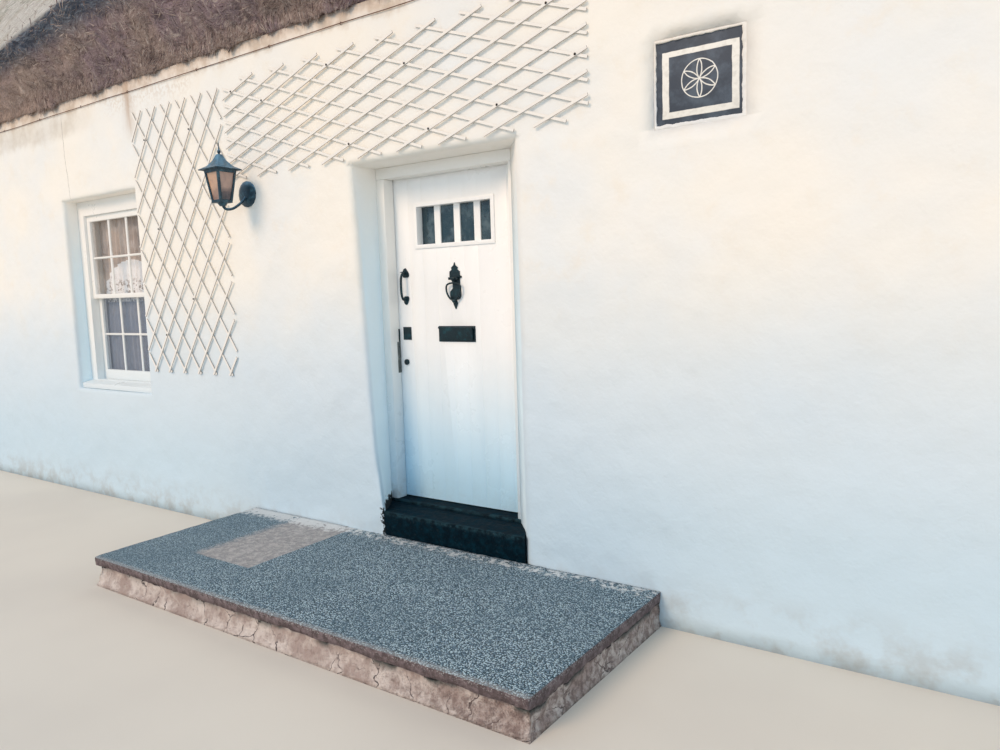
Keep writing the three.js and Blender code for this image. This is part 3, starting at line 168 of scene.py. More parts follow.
class ShaderBench(Bench):
    """A material under construction, whose patterns all start from Object coordinates."""

    def __init__(self, name: str) -> None:
        """Start the material and its surface shader.

        Args:
            name: the material's name.
        """
        self.material = bpy.data.materials.new(name)
        self.material.use_nodes = True
        super().__init__(self.material.node_tree)
        self.surface = self.tree.nodes["Principled BSDF"]
        self.place = self.node("TexCoord", out="Object")

    def noise(self, scale: float, detail: float = 3.0, rough: float = 0.55, where: Pattern | None = None,
              warp: float = 0.0) -> Pattern:
        """Return a noise pattern.

        Args:
            scale: lumps for each metre.
            detail: octaves of the noise.
            rough: how strong the finer octaves are.
            where: other coordinates than the place.
            warp: how far the noise twists itself.

        Returns:
            The pattern, from 0 to 1.
        """
        inputs = {"Vector": where or self.place, "Scale": scale, "Detail": detail, "Roughness": rough,
                  "Distortion": warp}
        return self.node("TexNoise", inputs)

    def cells(self, scale: float, feature: str = "F1", where: Pattern | None = None,
              output: str = "Distance") -> Pattern:
        """Return a cell pattern of the given scale per metre."""
        inputs = {"Vector": where or self.place, "Scale": scale}
        return self.node("TexVoronoi", inputs, output, feature=feature)

    def ramp(self, value: Pattern, low: float, high: float, bottom: float = 0.0, top: float = 1.0) -> Pattern:
        """Return a smooth step of a value from low to high, scaled to run from bottom to top."""
        inputs = {0: value, 1: low, 2: high, 3: bottom, 4: top}
        return self.node("MapRange", inputs, interpolation_type="SMOOTHSTEP")

    def mix(self, share: object, first: object, second: object) -> Pattern:
        """Return a mix of two colours."""
        return self.node("Mix", {0: share, 6: first, 7: second}, 2, data_type="RGBA")

    def stretched(self, scale: Point, turn: Point = (0, 0, 0), where: Pattern | None = None) -> Pattern:
        """Return the coordinates stretched and turned."""
        return self.node("Mapping", {"Vector": where or self.place, "Rotation": turn, "Scale": scale})

    def warped(self, scale: float, detail: float, amount: float) -> Pattern:
        """Return the coordinates pushed about by a noise.

        Args:
            scale: lumps of the noise for each metre.
            detail: its octaves.
            amount: how far it pushes, in metres.

        Returns:
            The new coordinates.
        """
        push = self.node("TexNoise", {"Vector": self.place, "Scale": scale, "Detail": detail}, 1)
        scaled = self.node("VectorMath", {0: push, "Scale": amount}, operation="SCALE")
        return self.node("VectorMath", {0: self.place, 1: scaled}, operation="ADD")

    def axes(self, where: Pattern | None = None) -> tuple[Pattern, ...]:
        """Return the three coordinates one by one."""
        first = self.node("SeparateXYZ", {0: where or self.place})
        return tuple(first.also(axis) for axis in range(3))

    def facing(self, axis: int) -> Pattern:
        """Return how far the surface faces along an axis, from -1 to 1."""
        return self.axes(self.node("NewGeometry", out="Normal"))[axis]

    def attribute(self, name: str) -> Pattern:
        """Return a float attribute of the mesh."""
        return self.node("Attribute", out="Fac", attribute_name=name)

    def box_mask(self, middle: Point, half: Point, soft: float) -> Pattern:
        """Return 1 inside a box and 0 outside it, with an edge of the given softness."""
        result: object = 1.0
        for axis, centre, reach in zip(self.axes(), middle, half):
            inside = self.ramp(abs(axis - centre), reach - soft, reach + soft, 1.0, 0.0)
            result = self.math("MULTIPLY", result, inside)
        return result

    def bump(self, height: object, distance: float, strength: float = 1.0,
             below: Pattern | None = None) -> Pattern:
        """Return a normal raised by a height pattern.

        Args:
            height: the pattern.
            distance: its depth in metres.
            strength: the share of it that shows.
            below: the normal of a coarser relief that it stands on.

        Returns:
            The normal.
        """
        inputs = {"Height": height, "Distance": distance, "Strength": strength}
        if below is not None:
            inputs["Normal"] = below
        return self.node("Bump", inputs)

    def finish(self, **inputs: object) -> Material:
        """Set the surface's inputs and return the material."""
        for key, value in inputs.items():
            self.feed(self.surface.inputs[key.replace("_", " ").title().replace("Ior", "IOR")], value)
        return self.material


class GeoBench(Bench):
    """A Geometry Nodes tree under construction, with named inputs for its sizes."""

    start = "GeometryNode"

    def __init__(self, name: str) -> None:
        """Start the tree with its geometry input and output.

        Args:
            name: the tree's name.
        """
        super().__init__(bpy.data.node_groups.new(name, "GeometryNodeTree"))
        for way in ("INPUT", "OUTPUT"):
            self.tree.interface.new_socket("Geometry", in_out=way, socket_type="NodeSocketGeometry")
        self.entry = self.tree.nodes.new("NodeGroupInput")
        self.exit = self.tree.nodes.new("NodeGroupOutput")
        self.values: dict[str, object] = {}
        self.base = Pattern(self, self.entry.outputs[0])

    def size(self, name: str, value: float) -> Pattern:
        """Add a named input with its value, and return it inside the tree."""
        made = self.tree.interface.new_socket(name, in_out="INPUT", socket_type="NodeSocketFloat")
        self.values[made.identifier] = value
        return Pattern(self, self.entry.outputs[name])

    def vector(self, operation: str, *values: object) -> Pattern:
        """Return a vector operation on values or patterns."""
        return self.node("ShaderNodeVectorMath", dict(enumerate(values)), operation=operation)

    def scaled(self, value: object, factor: object) -> Pattern:
        """Return a vector times a number."""
        return self.node("ShaderNodeVectorMath", {0: value, "Scale": factor}, operation="SCALE")

    def arrow(self, axis: int, value: object) -> Pattern:
        """Return a vector along an axis."""
        return self.node("ShaderNodeCombineXYZ", {axis: value})

    def random(self, low: object, high: object, seed: int) -> Pattern:
        """Return a random number or vector with a fixed seed."""
        vector = isinstance(low, tuple)
        kind, first = ("FLOAT_VECTOR", 0) if vector else ("FLOAT", 2)
        inputs = {first: low, first + 1: high, "Seed": seed}
        return self.node("FunctionNodeRandomValue", inputs, 0 if vector else 1, data_type=kind)

    def attribute(self, name: str) -> Pattern:
        """Return a float attribute of the base mesh."""
        return self.node("InputNamedAttribute", {"Name": name}, data_type="FLOAT")

    def sweep(self, curve: Pattern, sides: int, radius: Pattern) -> Pattern:
        """Return a round bar that follows a curve."""
        ring = self.node("CurvePrimitiveCircle", {"Resolution": sides, "Radius": radius})
        return self.node("CurveToMesh", {"Curve": curve, "Profile Curve": ring, "Fill Caps": True})

    def run(self, mesh: Mesh, geometry: Pattern, finish: Material) -> Mesh:
        """Close the tree with Realize Instances and Set Material, and run it on a mesh.

        Args:
            mesh: the base mesh.
            geometry: the result's geometry.
            finish: the material of the result.

        Returns:
            The resulting plain mesh.
        """
        real = self.node("RealizeInstances", {0: geometry})
        self.feed(self.exit.inputs[0], self.node("SetMaterial", {"Geometry": real, "Material": finish}))

        def modify(passing: bpy.types.Object) -> None:
            """Add the tree with its values."""
            modifier = passing.modifiers.new(self.tree.name, "NODES")
            modifier.node_group = self.tree
            for identifier, value in self.values.items():
                modifier[identifier] = value

        return Shop.evaluated(mesh, modify)


# Materials


@dataclass(frozen=True)
class Limewash:
    """Many coats of lime over rubble: warm white with splashes and water stains, and painted light: a cool
    shade towards the ground, pale blue shade and warm light in the reveals, and shade round the plaque.
    """

    name: str = "limewash"
    white: str = "f8f3e8"
    cool: str = "eef0ee"
    cream: str = "f2e8d6"
    # Cool blue painted towards the ground as the shade of the lower wall
    low: str = "cddfeb"
    # Pale blue painted low in the reveals as their shade
    reveal: str = "e6f8ff"
    dirt: str = "9b9284"

    def build(self) -> Material:
        """Mix the material.

        Returns:
            The material.
        """
        s = ShaderBench(self.name)
        z = s.axes()[2]
        middle = s.noise(6, 4, 0.62)
        fine = s.noise(42, 2, 0.6)
        colour = s.mix(s.ramp(s.noise(1.1, 3), 0.35, 0.7), self.white, self.cool)
        colour = s.mix(s.ramp(middle, 0.5, 0.8, 0, 0.45), colour, self.cream)
        x, y, _ = s.axes()
        # Painted shade: a cool blue tint towards the ground, strongest on the front wall, stands in for the
        # sky-lit lower wall
        share = s.ramp(y, FRONT + 0.56, FRONT + 3.00, 1, 0.12)
        cool = s.ramp(z, 0.9, 1.8, 0.75, 0) * share
        colour = s.mix(cool, colour, self.low)
        cold = s.ramp(z, 0.3, 1.1, 0.7, 0) * share
        colour = s.mix(cold, colour, "bfd8e6")
        # Painted light in the reveals: pale blue shade low down and warm white light higher up, laid over the
        # tints above
        inner = s.ramp(y, FRONT + 0.012, FRONT + 0.05, 0, 0.92) * s.ramp(y, FRONT + 0.5, FRONT + 0.56, 1, 0)
        inner = inner * s.ramp(abs(x), 5.3, 5.42, 1, 0)
        colour = s.mix(inner, colour, s.mix(s.ramp(z, 1.5, 2.4), self.reveal, "fff7ec"))
        foot = s.ramp(z, 0.0, 0.3, 0.4, 0) * s.ramp(middle, 0.42, 0.66)
        colour = s.mix(foot, colour, self.dirt)
        colour = self.splashes(s, colour)
        colour = self.under_eaves(s, colour, middle, fine)
        crack = self.crack(s, middle)
        colour = s.mix(crack * 0.6, colour, "7d7568")
        lumps = s.bump(s.noise(3.2, 2, 0.5), 0.034, 0.8)
        trowel = s.bump(middle, 0.010, 0.7, lumps)
        grit = s.bump(fine, 0.0016, 0.8, trowel)
        return s.finish(base_color=colour, roughness=0.93, normal=grit)

    @staticmethod
    def splashes(s: ShaderBench, colour: object) -> Pattern:
        """Brush step paint onto the plaster beside the step.

        Args:
            s: the bench of the material.
            colour: the limewash so far.

        Returns:
            The new colour.
        """
        x, y, z = s.axes()
        teeth = (s.noise(26, 3, 0.7) - 0.5) * 0.16
        low = s.ramp(z + teeth, 0.335, 0.345, 1, 0)
        beside = s.ramp(x + teeth, -0.352, -0.34)
        deep = s.ramp(y, FRONT + 0.19, FRONT + 0.21, 1, 0)
        doorway = s.ramp(x, -0.62, -0.6) * s.ramp(x, 0.0, 0.1, 1, 0)
        reveal = doorway * (low * deep)
        inside = s.math("MAXIMUM", beside, s.ramp(y, FRONT + 0.015, FRONT + 0.03))
        return s.mix(reveal * inside, colour, "0b171b")

    @staticmethod
    def under_eaves(s: ShaderBench, colour: object, middle: object, fine: object) -> Pattern:
        """Return the colour with the cream strip, a darker band under the eaves on the left, the crumbled
        patch, the stain, and painted shade along and round the plaque.

        Args:
            s: the bench of the material.
            colour: the limewash so far.
            middle: a pattern of hand-sized patches.
            fine: a pattern of grit.

        Returns:
            The new colour.
        """
        z = s.axes()[2]
        wavy = z + (middle - 0.5) * 0.11
        band = s.box_mask((-4.55, FRONT, 2.86), (1.35, 0.2, 0.16), 0.3)
        band = band * s.ramp(middle, 0.3, 0.66, 0.25, 0.62)
        ledge = s.ramp(wavy, 2.72, 2.80)
        colour = s.mix(band * ledge, colour, "b9ad9b")
        # Painted shade: a warm darker line along the plaque's top stands in for the shading under a plaster
        # lip
        lip = s.box_mask((1.45, FRONT, 2.505), (0.17, 0.1, 0.006), 0.03) * 0.3
        colour = s.mix(lip, colour, "d2c2af")
        # Painted shade round the plaque: blue-grey below, beige above
        halo = s.box_mask((1.468, FRONT, 2.31), (0.186, 0.1, 0.172), 0.03) * 0.6
        colour = s.mix(halo, colour, s.mix(s.ramp(z, 2.2, 2.5), "d3d6dd", "ddd0c2"))
        crumbs = s.box_mask((-2.35, FRONT, 2.89), (0.5, 0.2, 0.04), 0.09) * s.ramp(fine, 0.42, 0.62)
        colour = s.mix(crumbs * 0.4, colour, "cdb9a1")
        strip_tone = s.mix(s.ramp(middle, 0.4, 0.62), "e9dccd", "cbb8a4")
        strip = s.ramp(wavy, 2.9, 2.97, 0, 0.85) * s.ramp(abs(s.axes()[0]), 5.3, 5.42, 1, 0)
        strip = strip * s.ramp(z, 3.4, 3.6, 1, 0)
        colour = s.mix(strip, colour, strip_tone)
        runs = s.noise(7, 3, 0.6, s.stretched((1.6, 1, 0.4)))
        streak = s.box_mask((-2.575, FRONT, 2.85), (0.04, 0.2, 0.19), 0.075)
        return s.mix(streak * s.ramp(runs, 0.3, 0.7, 0.3, 0.85), colour, "b08e6c")

    @staticmethod
    def crack(s: ShaderBench, middle: object) -> Pattern:
        """Draw the fine upright crack below the eaves.

        Args:
            s: the bench of the material.
            middle: a pattern of hand-sized patches.

        Returns:
            Its mask.
        """
        x, _, z = s.axes()
        waver = x + (middle - 0.5) * 0.05
        lean = waver + z * 0.06
        line = s.ramp(abs(lean + 3.335), 0.0012, 0.004, 1, 0)
        return line * s.box_mask((-3.5, FRONT, 2.6), (0.5, 0.1, 0.3), 0.04)


@dataclass(frozen=True)
class Straw:
    """Weathered straw, with separate tones for the sunlit slope, the brow and the cut eaves, whose tufts carry
    painted highlights and painted shade.
    """

    name: str
    light: str
    dark: str
    brow: str = "3a5064"
    warm: str = "af9a90"
    mauve: str = "9e8a8e"
    mesh_size: float = 0.035
    grain: float = 120.0
    by_cut: bool = False

    def build(self) -> Material:
        """Mix the material.

        Returns:
            The material.
        """
        s = ShaderBench(self.name)
        streaks = s.noise(self.grain / 6, 4, 0.7, s.stretched((6, 1, 1)))
        clumps = s.noise(7, 4, 0.62)
        grains = s.noise(self.grain, 2, 0.7)
        colour = s.mix(s.ramp(streaks, 0.3, 0.7), self.light, self.dark)
        colour = s.mix(s.ramp(clumps, 0.45, 0.75, 0, 0.6), colour, self.dark)
        texture = streaks
        if self.by_cut:
            colour = self.netted(s, colour)
            cut, brow = s.attribute("cut"), s.attribute("brow")
            lying = s.stretched((1, 1, 5.5), (0.5, 0.2, 0.7), s.warped(4.0, 2.0, 0.35))
            tufts = s.noise(11, 5, 0.72, lying, 0.4)
            warm = s.mix(s.ramp(s.noise(2.2, 3, 0.6), 0.4, 0.62), self.warm, self.mauve)
            # Partly straw tone, partly painted light: pale tuft tops are painted highlights, and dark hollows
            # between tufts and clumps are painted shade
            warm = s.mix(s.ramp(tufts, 0.5, 0.7, 0, 0.85), warm, "e2d1c6")
            warm = s.mix(s.ramp(tufts, 0.32, 0.47, 0.8, 0), warm, "5a4948")
            warm = s.mix(s.ramp(clumps, 0.33, 0.43, 0.6, 0), warm, "4d3f42")
            warm = s.mix(s.ramp(s.axes()[0], -4.6, -3.2, 0.72, 0), warm, "dcc1b0")
            colour = s.mix(cut, colour, warm)
            blue = s.mix(s.ramp(tufts, 0.42, 0.7), self.brow, "8396a6")
            colour = s.mix(brow * 0.82, colour, blue)
            texture = s.node("Mix", {0: cut, 2: streaks, 3: tufts}, data_type="FLOAT")
        speck: object = s.ramp(grains, 0.35, 0.6, 0.3, 0)
        if self.by_cut:
            speck = speck * (cut * 0.5 + 0.5)
        colour = s.mix(speck, colour, "3b3130")
        rough = s.bump(clumps, 0.05, 0.6)
        reeds = s.bump(texture, 0.026, 0.9, rough)
        ends = s.bump(grains, 0.008, 0.9, reeds)
        return s.finish(base_color=colour, roughness=1.0, specular_ior_level=0.12, normal=ends)

    def netted(self, s: ShaderBench, colour: object) -> Pattern:
        """Lay the fine wire netting that holds the straw over the slope.

        Args:
            s: the bench of the material.
            colour: the straw so far.

        Returns:
            The new colour.
        """
        x, y, z = s.axes()
        up = (z - y) * 0.7
        lines: object = 0.0
        for sign in (1.0, -1.0):
            turn = (x + up * sign) * (math.pi / self.mesh_size)
            lines = s.math("MAXIMUM", lines, s.ramp(abs(s.math("SINE", turn)), 0.05, 0.14, 1, 0))
        runs = s.noise(2.6, 5, 0.62, s.stretched((2.4, 0.5, 0.5)))
        colour = s.mix(s.ramp(runs, 0.46, 0.66, 0, 0.42), colour, "bdaf99")
        colour = s.mix(s.ramp(runs, 0.3, 0.42, 0.4, 0), colour, "959086")
        moss = s.ramp(s.noise(1.1, 4, 0.6), 0.54, 0.68) * s.ramp(s.noise(14, 4, 0.7), 0.46, 0.6, 0, 0.6)
        colour = s.mix(moss, colour, "7b7d55")
        return s.mix(lines * 0.3, colour, "a5a19b")


@dataclass(frozen=True)
class LooseStraw:
    """Single straws, each with its own tone."""

    name: str
    pale: str = "cbb9ad"
    deep: str = "6d5b59"

    def build(self) -> Material:
        """Mix the material.

        Returns:
            The material.
        """
        s = ShaderBench(self.name)
        tone = s.attribute("tone")
        colour = s.mix(s.ramp(tone, 0.0, 1.0), self.deep, self.pale)
        colour = s.mix(s.ramp(s.noise(60, 2), 0.4, 0.7, 0, 0.4), colour, self.deep)
        colour = s.mix(s.ramp(s.axes()[0], -4.6, -3.2, 0.4, 0), colour, "dcc1b0")
        return s.finish(base_color=colour, roughness=0.95, specular_ior_level=0.2)


@dataclass(frozen=True)
class GlossPaint:
    """White gloss on timber, with brush drag, a faint grain, rubbed or dirty patches, cool shade painted
    towards the foot, and where asked painted shade on the sides.
    """

    name: str
    white: str = "f6f3ec"
    worn: str = "d6d1c6"
    # Cool blue painted towards the foot as shade
    low: str = "c9e2f0"
    rough: float = 0.32
    low_top: float = 1.5
    scuffs: float = 0.35
    # A darker colour painted on faces that look sideways, as shade
    sides: str = ""

    def build(self) -> Material:
        """Mix the material.

        Returns:
            The material.
        """
        s = ShaderBench(self.name)
        z = s.axes()[2]
        drag = s.noise(60, 5, 0.6, s.stretched((4, 4, 0.12)))
        patches = s.noise(3.2, 5, 0.6)
        colour = s.mix(s.ramp(patches, 0.4, 0.8, 0, 0.3), self.white, "e9ebea")
        # Painted shade: a cool blue tint towards the foot stands in for the sky-lit lower part
        colour = s.mix(s.ramp(z, 0.3, self.low_top, 0.85, 0), colour, self.low)
        colour = s.mix(s.ramp(drag, 0.55, 0.85, 0, 0.14), colour, self.worn)
        specks = s.ramp(s.cells(23), 0.015, 0.05, 1, 0) * s.ramp(s.noise(2, 2), 0.5, 0.6)
        colour = s.mix(specks * 0.6, colour, "7d756a")
        low = s.ramp(z, 0.31, 0.52, 1, 0)
        scuff = low * s.ramp(s.noise(18, 5, 0.7), 0.42, 0.7)
        colour = s.mix(scuff * self.scuffs, colour, "a39c90")
        # Painted shade on faces that look sideways, such as a slat's edges
        if self.sides:
            facing = s.facing(1)
            colour = s.mix(s.ramp(abs(facing), 0.4, 0.9, 0.9, 0), colour, self.sides)
        rough = s.ramp(patches, 0.3, 0.8, self.rough - 0.06, self.rough + 0.14)
        grain = s.bump(drag, 0.0008, 0.8)
        waves = s.bump(s.noise(6, 3), 0.004, 0.6, grain)
        return s.finish(base_color=colour, roughness=rough, normal=waves)


@dataclass(frozen=True)
class Ironwork:
    """Black painted iron with a hammered skin, a green-blue cast where it is worn, and where asked a painted
    sky sheen on faces that look up.
    """

    name: str
    black: str = "04222a"
    worn: str = "124852"
    metal: float = 0.2
    rough: float = 0.42
    # A lighter colour painted on faces that look up, as a sheen of the sky
    above: str = ""

    def build(self) -> Material:
        """Mix the material.

        Returns:
            The material.
        """
        s = ShaderBench(self.name)
        wear = s.noise(26, 5, 0.65)
        colour = s.mix(s.ramp(wear, 0.48, 0.75), self.black, self.worn)
        # Painted sheen: faces that look up are painted lighter, as if they caught the sky
        if self.above:
            up = s.facing(2)
            lit = s.ramp(up, 0.15, 0.55) * s.ramp(wear, 0.35, 0.6, 0.35, 0.95)
            colour = s.mix(lit, colour, self.above)
        rust = s.ramp(s.noise(70, 4, 0.7), 0.66, 0.76) * 0.3
        colour = s.mix(rust, colour, "5b3a28")
        rough = s.ramp(wear, 0.3, 0.8, self.rough - 0.1, self.rough + 0.2)
        hammered = s.bump(s.cells(150, "SMOOTH_F1"), 0.0012, 0.7)
        pits = s.bump(s.noise(420, 3, 0.6), 0.0004, 0.8, hammered)
        return s.finish(base_color=colour, metallic=self.metal, roughness=rough, normal=pits)


@dataclass(frozen=True)
class CastGround:
    """Cast concrete: pebbles on top, a brown upper edge, and below it a cracked skirt of pinkish render."""

    name: str = "landing_concrete"
    pebbles: float = 155.0
    front: float = FRONT - 1.050

    def build(self) -> Material:
        """Mix the material.

        Returns:
            The material.
        """
        s = ShaderBench(self.name)
        patchy = s.noise(9, 4, 0.65)
        rubbed = s.noise(34, 4, 0.7)
        stones = s.cells(self.pebbles)
        flat = self.surface_colour(s, stones, rubbed)
        side = self.edge_colour(s, patchy, rubbed)
        up = s.facing(2)
        top = s.ramp(up, 0.45, 0.7) * s.ramp(s.axes()[2], 0.12, 0.14)
        colour = s.mix(top, side, flat)
        pebble = s.bump(s.ramp(stones, 0.0, 0.55, 1, 0), 0.004, 0.8)
        broken = s.bump(rubbed, 0.010, 0.8, pebble)
        return s.finish(base_color=colour, roughness=0.94, normal=broken)

    def surface_colour(self, s: ShaderBench, stones: object, rubbed: object) -> Pattern:
        """Return the colour of the top, with its smooth patch and the lime along the wall.

        Args:
            s: the bench of the material.
            stones: the pattern of pebbles.
            rubbed: a pattern of finger-sized scuffs.

        Returns:
            The colour.
        """
        x, y, _ = s.axes()
        tint = s.node("SeparateColor", {0: s.cells(self.pebbles, output="Color")})
        flat = s.mix(s.ramp(tint, 0.25, 0.75), "6a8698", "cbe2ec")
        flat = s.mix(s.ramp(stones, 0.38, 0.62), flat, "2f434d")
        flat = s.mix(s.ramp(x, -1.4, 0.1, 0.42, 0.0), flat, "697f8c")
        flat = s.mix(s.ramp(s.noise(2.2, 3), 0.4, 0.7, 0, 0.3), flat, "556d7a")
        ragged = (rubbed - 0.5) * 0.03
        edge_y = y + ragged
        flat = s.mix(s.ramp(edge_y, self.front + 0.012, self.front + 0.036, 0.4, 0), flat, "a8a5a2")
        left_edge = x + ragged * 4.0
        patch = s.ramp(left_edge, -1.08, -0.98) * s.ramp(x, -0.59, -0.58, 1, 0)
        patch = patch * s.ramp(y, FRONT - 0.742, FRONT - 0.732)
        tone = s.mix(s.ramp(rubbed, 0.42, 0.62), "a19d9c", "c3bdba")
        tone = s.mix(s.ramp(tint, 0.5, 0.9, 0, 0.35), tone, "707678")
        flat = s.mix(patch * 0.88, flat, tone)
        foot = s.ramp(y, FRONT - 0.24, FRONT - 0.05)
        reach = foot + s.ramp(x, -0.9, -0.4, 0.35, 0.0)
        lime = s.ramp(reach * rubbed, 0.46, 0.58) * foot
        return s.mix(lime * 0.85, flat, "dfe2e2")

    @staticmethod
    def edge_colour(s: ShaderBench, patchy: object, rubbed: object) -> Pattern:
        """Colour the upright faces: the edge above, a crack, and the skirt with its moss, partly painted shade
        under the edge.

        Args:
            s: the bench of the material.
            patchy: a pattern of hand-sized patches.
            rubbed: a pattern of finger-sized scuffs.

        Returns:
            The colour.
        """
        x, _, z = s.axes()
        level = z + (patchy - 0.5) * 0.045
        skirt = s.mix(s.ramp(patchy, 0.36, 0.62), "ab9a93", "d6ccc5")
        skirt = s.mix(s.ramp(rubbed, 0.5, 0.72, 0, 0.55), skirt, "83706a")
        broken = s.cells(6.5, "DISTANCE_TO_EDGE", s.warped(14.0, 3.0, 0.10))
        split = s.ramp(broken, 0.004, 0.022, 1, 0)
        skirt = s.mix(split * s.ramp(patchy, 0.42, 0.55), skirt, "40373a")
        right = s.ramp(x, 0.3, 1.2)
        skirt = s.mix(right * s.ramp(rubbed, 0.4, 0.6, 0.2, 0.75), skirt, "6d5c57")
        # Partly moss, partly painted shade: dark green-grey on the skirt just under the overhanging edge
        under = s.ramp(level, 0.064, 0.1) * s.ramp(s.noise(5, 3, 0.6), 0.46, 0.56)
        skirt = s.mix(under * s.ramp(x, -0.7, 0.2, 0.35, 0.9), skirt, "2c3a39")
        edge = s.mix(s.ramp(rubbed, 0.38, 0.68), "544849", "7e7072")
        grains = s.ramp(z, 0.125, 0.156) * s.ramp(s.cells(125), 0.2, 0.4, 1, 0)
        edge = s.mix(grains * 0.8, edge, "b9b9b7")
        side = s.mix(s.ramp(level, 0.100, 0.108), skirt, edge)
        gap = s.ramp(abs(level - 0.101), 0.0015, 0.006, 1, 0)
        return s.mix(gap * s.ramp(rubbed, 0.4, 0.52), side, "241f20")


@dataclass(frozen=True)
class StepPaint:
    """Blackish green masonry paint, worn pale along the nosings."""

    name: str = "step_paint"
    nosings: tuple[tuple[float, float], ...] = ((-2.336, 0.290), (-2.1397, 0.305))

    def build(self) -> Material:
        """Mix the material.

        Returns:
            The material.
        """
        s = ShaderBench(self.name)
        _, y, z = s.axes()
        wear = s.noise(24, 6, 0.72)
        colour = s.mix(s.ramp(wear, 0.4, 0.75), "01131d", "052b38")
        for edge_y, edge_z in self.nosings:
            away = abs(y - edge_y) + abs(z - edge_z)
            rub = s.ramp(away, 0.006, 0.028, 1, 0) * s.ramp(wear, 0.36, 0.6)
            colour = s.mix(rub * 0.12, colour, "5f868f")
        dust = s.ramp(s.noise(60, 4, 0.7), 0.55, 0.75) * 0.06
        colour = s.mix(dust, colour, "8c8f8a")
        rough = s.ramp(wear, 0.3, 0.8, 0.5, 0.85)
        coarse = s.bump(s.noise(30, 5, 0.6), 0.004, 0.8)
        return s.finish(base_color=colour, roughness=rough, specular_ior_level=0.06,
                        normal=s.bump(wear, 0.0015, 0.8, coarse))


@dataclass(frozen=True)
class Flags:
    """Worn stone flags with dark joints."""

    name: str = "floor_stone"

    def build(self) -> Material:
        """Mix the material.

        Returns:
            The material.
        """
        s = ShaderBench(self.name)
        laid = s.node("TexBrick", {"Vector": s.warped(3.0, 2.0, 0.03), "Scale": 1.0, "Mortar Size": 0.008,
                                   "Brick Width": 0.72, "Row Height": 0.48, "Color1": "7f7b74",
                                   "Color2": "68665f", "Mortar": "35312c"})
        colour = s.mix(s.ramp(s.noise(8, 6, 0.7), 0.4, 0.75, 0, 0.55), laid, "8f887b")
        worn = s.bump(s.noise(5, 5, 0.6), 0.010, 0.7)
        joints = s.bump(laid.also(1), -0.006, 1.0, worn)
        return s.finish(base_color=colour, roughness=0.82, normal=joints)


@dataclass(frozen=True)
class RoughTimber:
    """Rough sawn roof timber darkened by smoke."""

    name: str = "roof_timber"

    def build(self) -> Material:
        """Mix the material.

        Returns:
            The material.
        """
        s = ShaderBench(self.name)
        grain = s.noise(30, 6, 0.65, s.stretched((1, 0.15, 0.3), (0.75, 0, 0)))
        colour = s.mix(s.ramp(grain, 0.35, 0.7), "3a2a1d", "6b5238")
        colour = s.mix(s.ramp(s.noise(2.5, 4), 0.45, 0.75, 0, 0.7), colour, "201813")
        return s.finish(base_color=colour, roughness=0.88, normal=s.bump(grain, 0.004, 0.9))


@dataclass(frozen=True)
class PaneGlass:
    """Drawn window glass, slightly uneven and filmed with dust. With a high cover, as in the door's light, it
    is a nearly opaque sheet of its tint, painted shade of the dark room behind.
    """

    name: str
    tint: str
    film: str
    cover: tuple[float, float] = (0.10, 0.26)
    rough: float = 0.04
    wave: float = 0.006
    lower: str = ""
    meeting: float = 1.56

    def build(self) -> Material:
        """Mix the material.

        Returns:
            The material.
        """
        s = ShaderBench(self.name)
        ripple = s.bump(s.noise(5.5, 2, 0.5), self.wave, 0.6)
        dust = s.ramp(s.noise(9, 4, 0.65), 0.42, 0.72)
        colour = s.mix(dust, self.tint, self.film)
        cover = s.ramp(dust, 0.0, 1.0, self.cover[0], self.cover[1])
        if self.lower:
            below = s.ramp(s.axes()[2], self.meeting - 0.01, self.meeting, 1, 0)
            colour = s.mix(below, colour, self.lower)
            cover = cover + below * 0.14
        return s.finish(base_color=colour, roughness=self.rough, alpha=cover, normal=ripple,
                        specular_ior_level=0.7)


@dataclass(frozen=True)
class AmberPane:
    """Obscured amber lantern glass, with painted shade on the panes that face right, and lighter towards the
    top.
    """

    low: float
    high: float
    name: str = "amber_glass"

    def build(self) -> Material:
        """Mix the material.

        Returns:
            The material.
        """
        s = ShaderBench(self.name)
        height = s.axes()[2]
        # Painted shade: panes that face right are painted darker and greyer; all panes grow lighter towards
        # the top
        facing = s.facing(0)
        right = s.ramp(facing, 0.2, 0.6)
        low = s.mix(right, "ae9082", "54565f")
        top = s.mix(right, "ebc5a7", "d9b9aa")
        mottled = height + (s.noise(14, 3) - 0.5) * 0.16
        rise = self.high - self.low
        colour = s.mix(s.ramp(mottled, self.low + 0.10 * rise, self.low + 0.55 * rise), low, top)
        colour = s.mix(s.ramp(s.noise(30, 4, 0.6), 0.4, 0.7, 0, 0.35), colour, "b08f88")
        ripple = s.bump(s.noise(140, 2), 0.002, 0.8)
        return s.finish(base_color=colour, roughness=0.35, transmission_weight=0.35, normal=ripple)


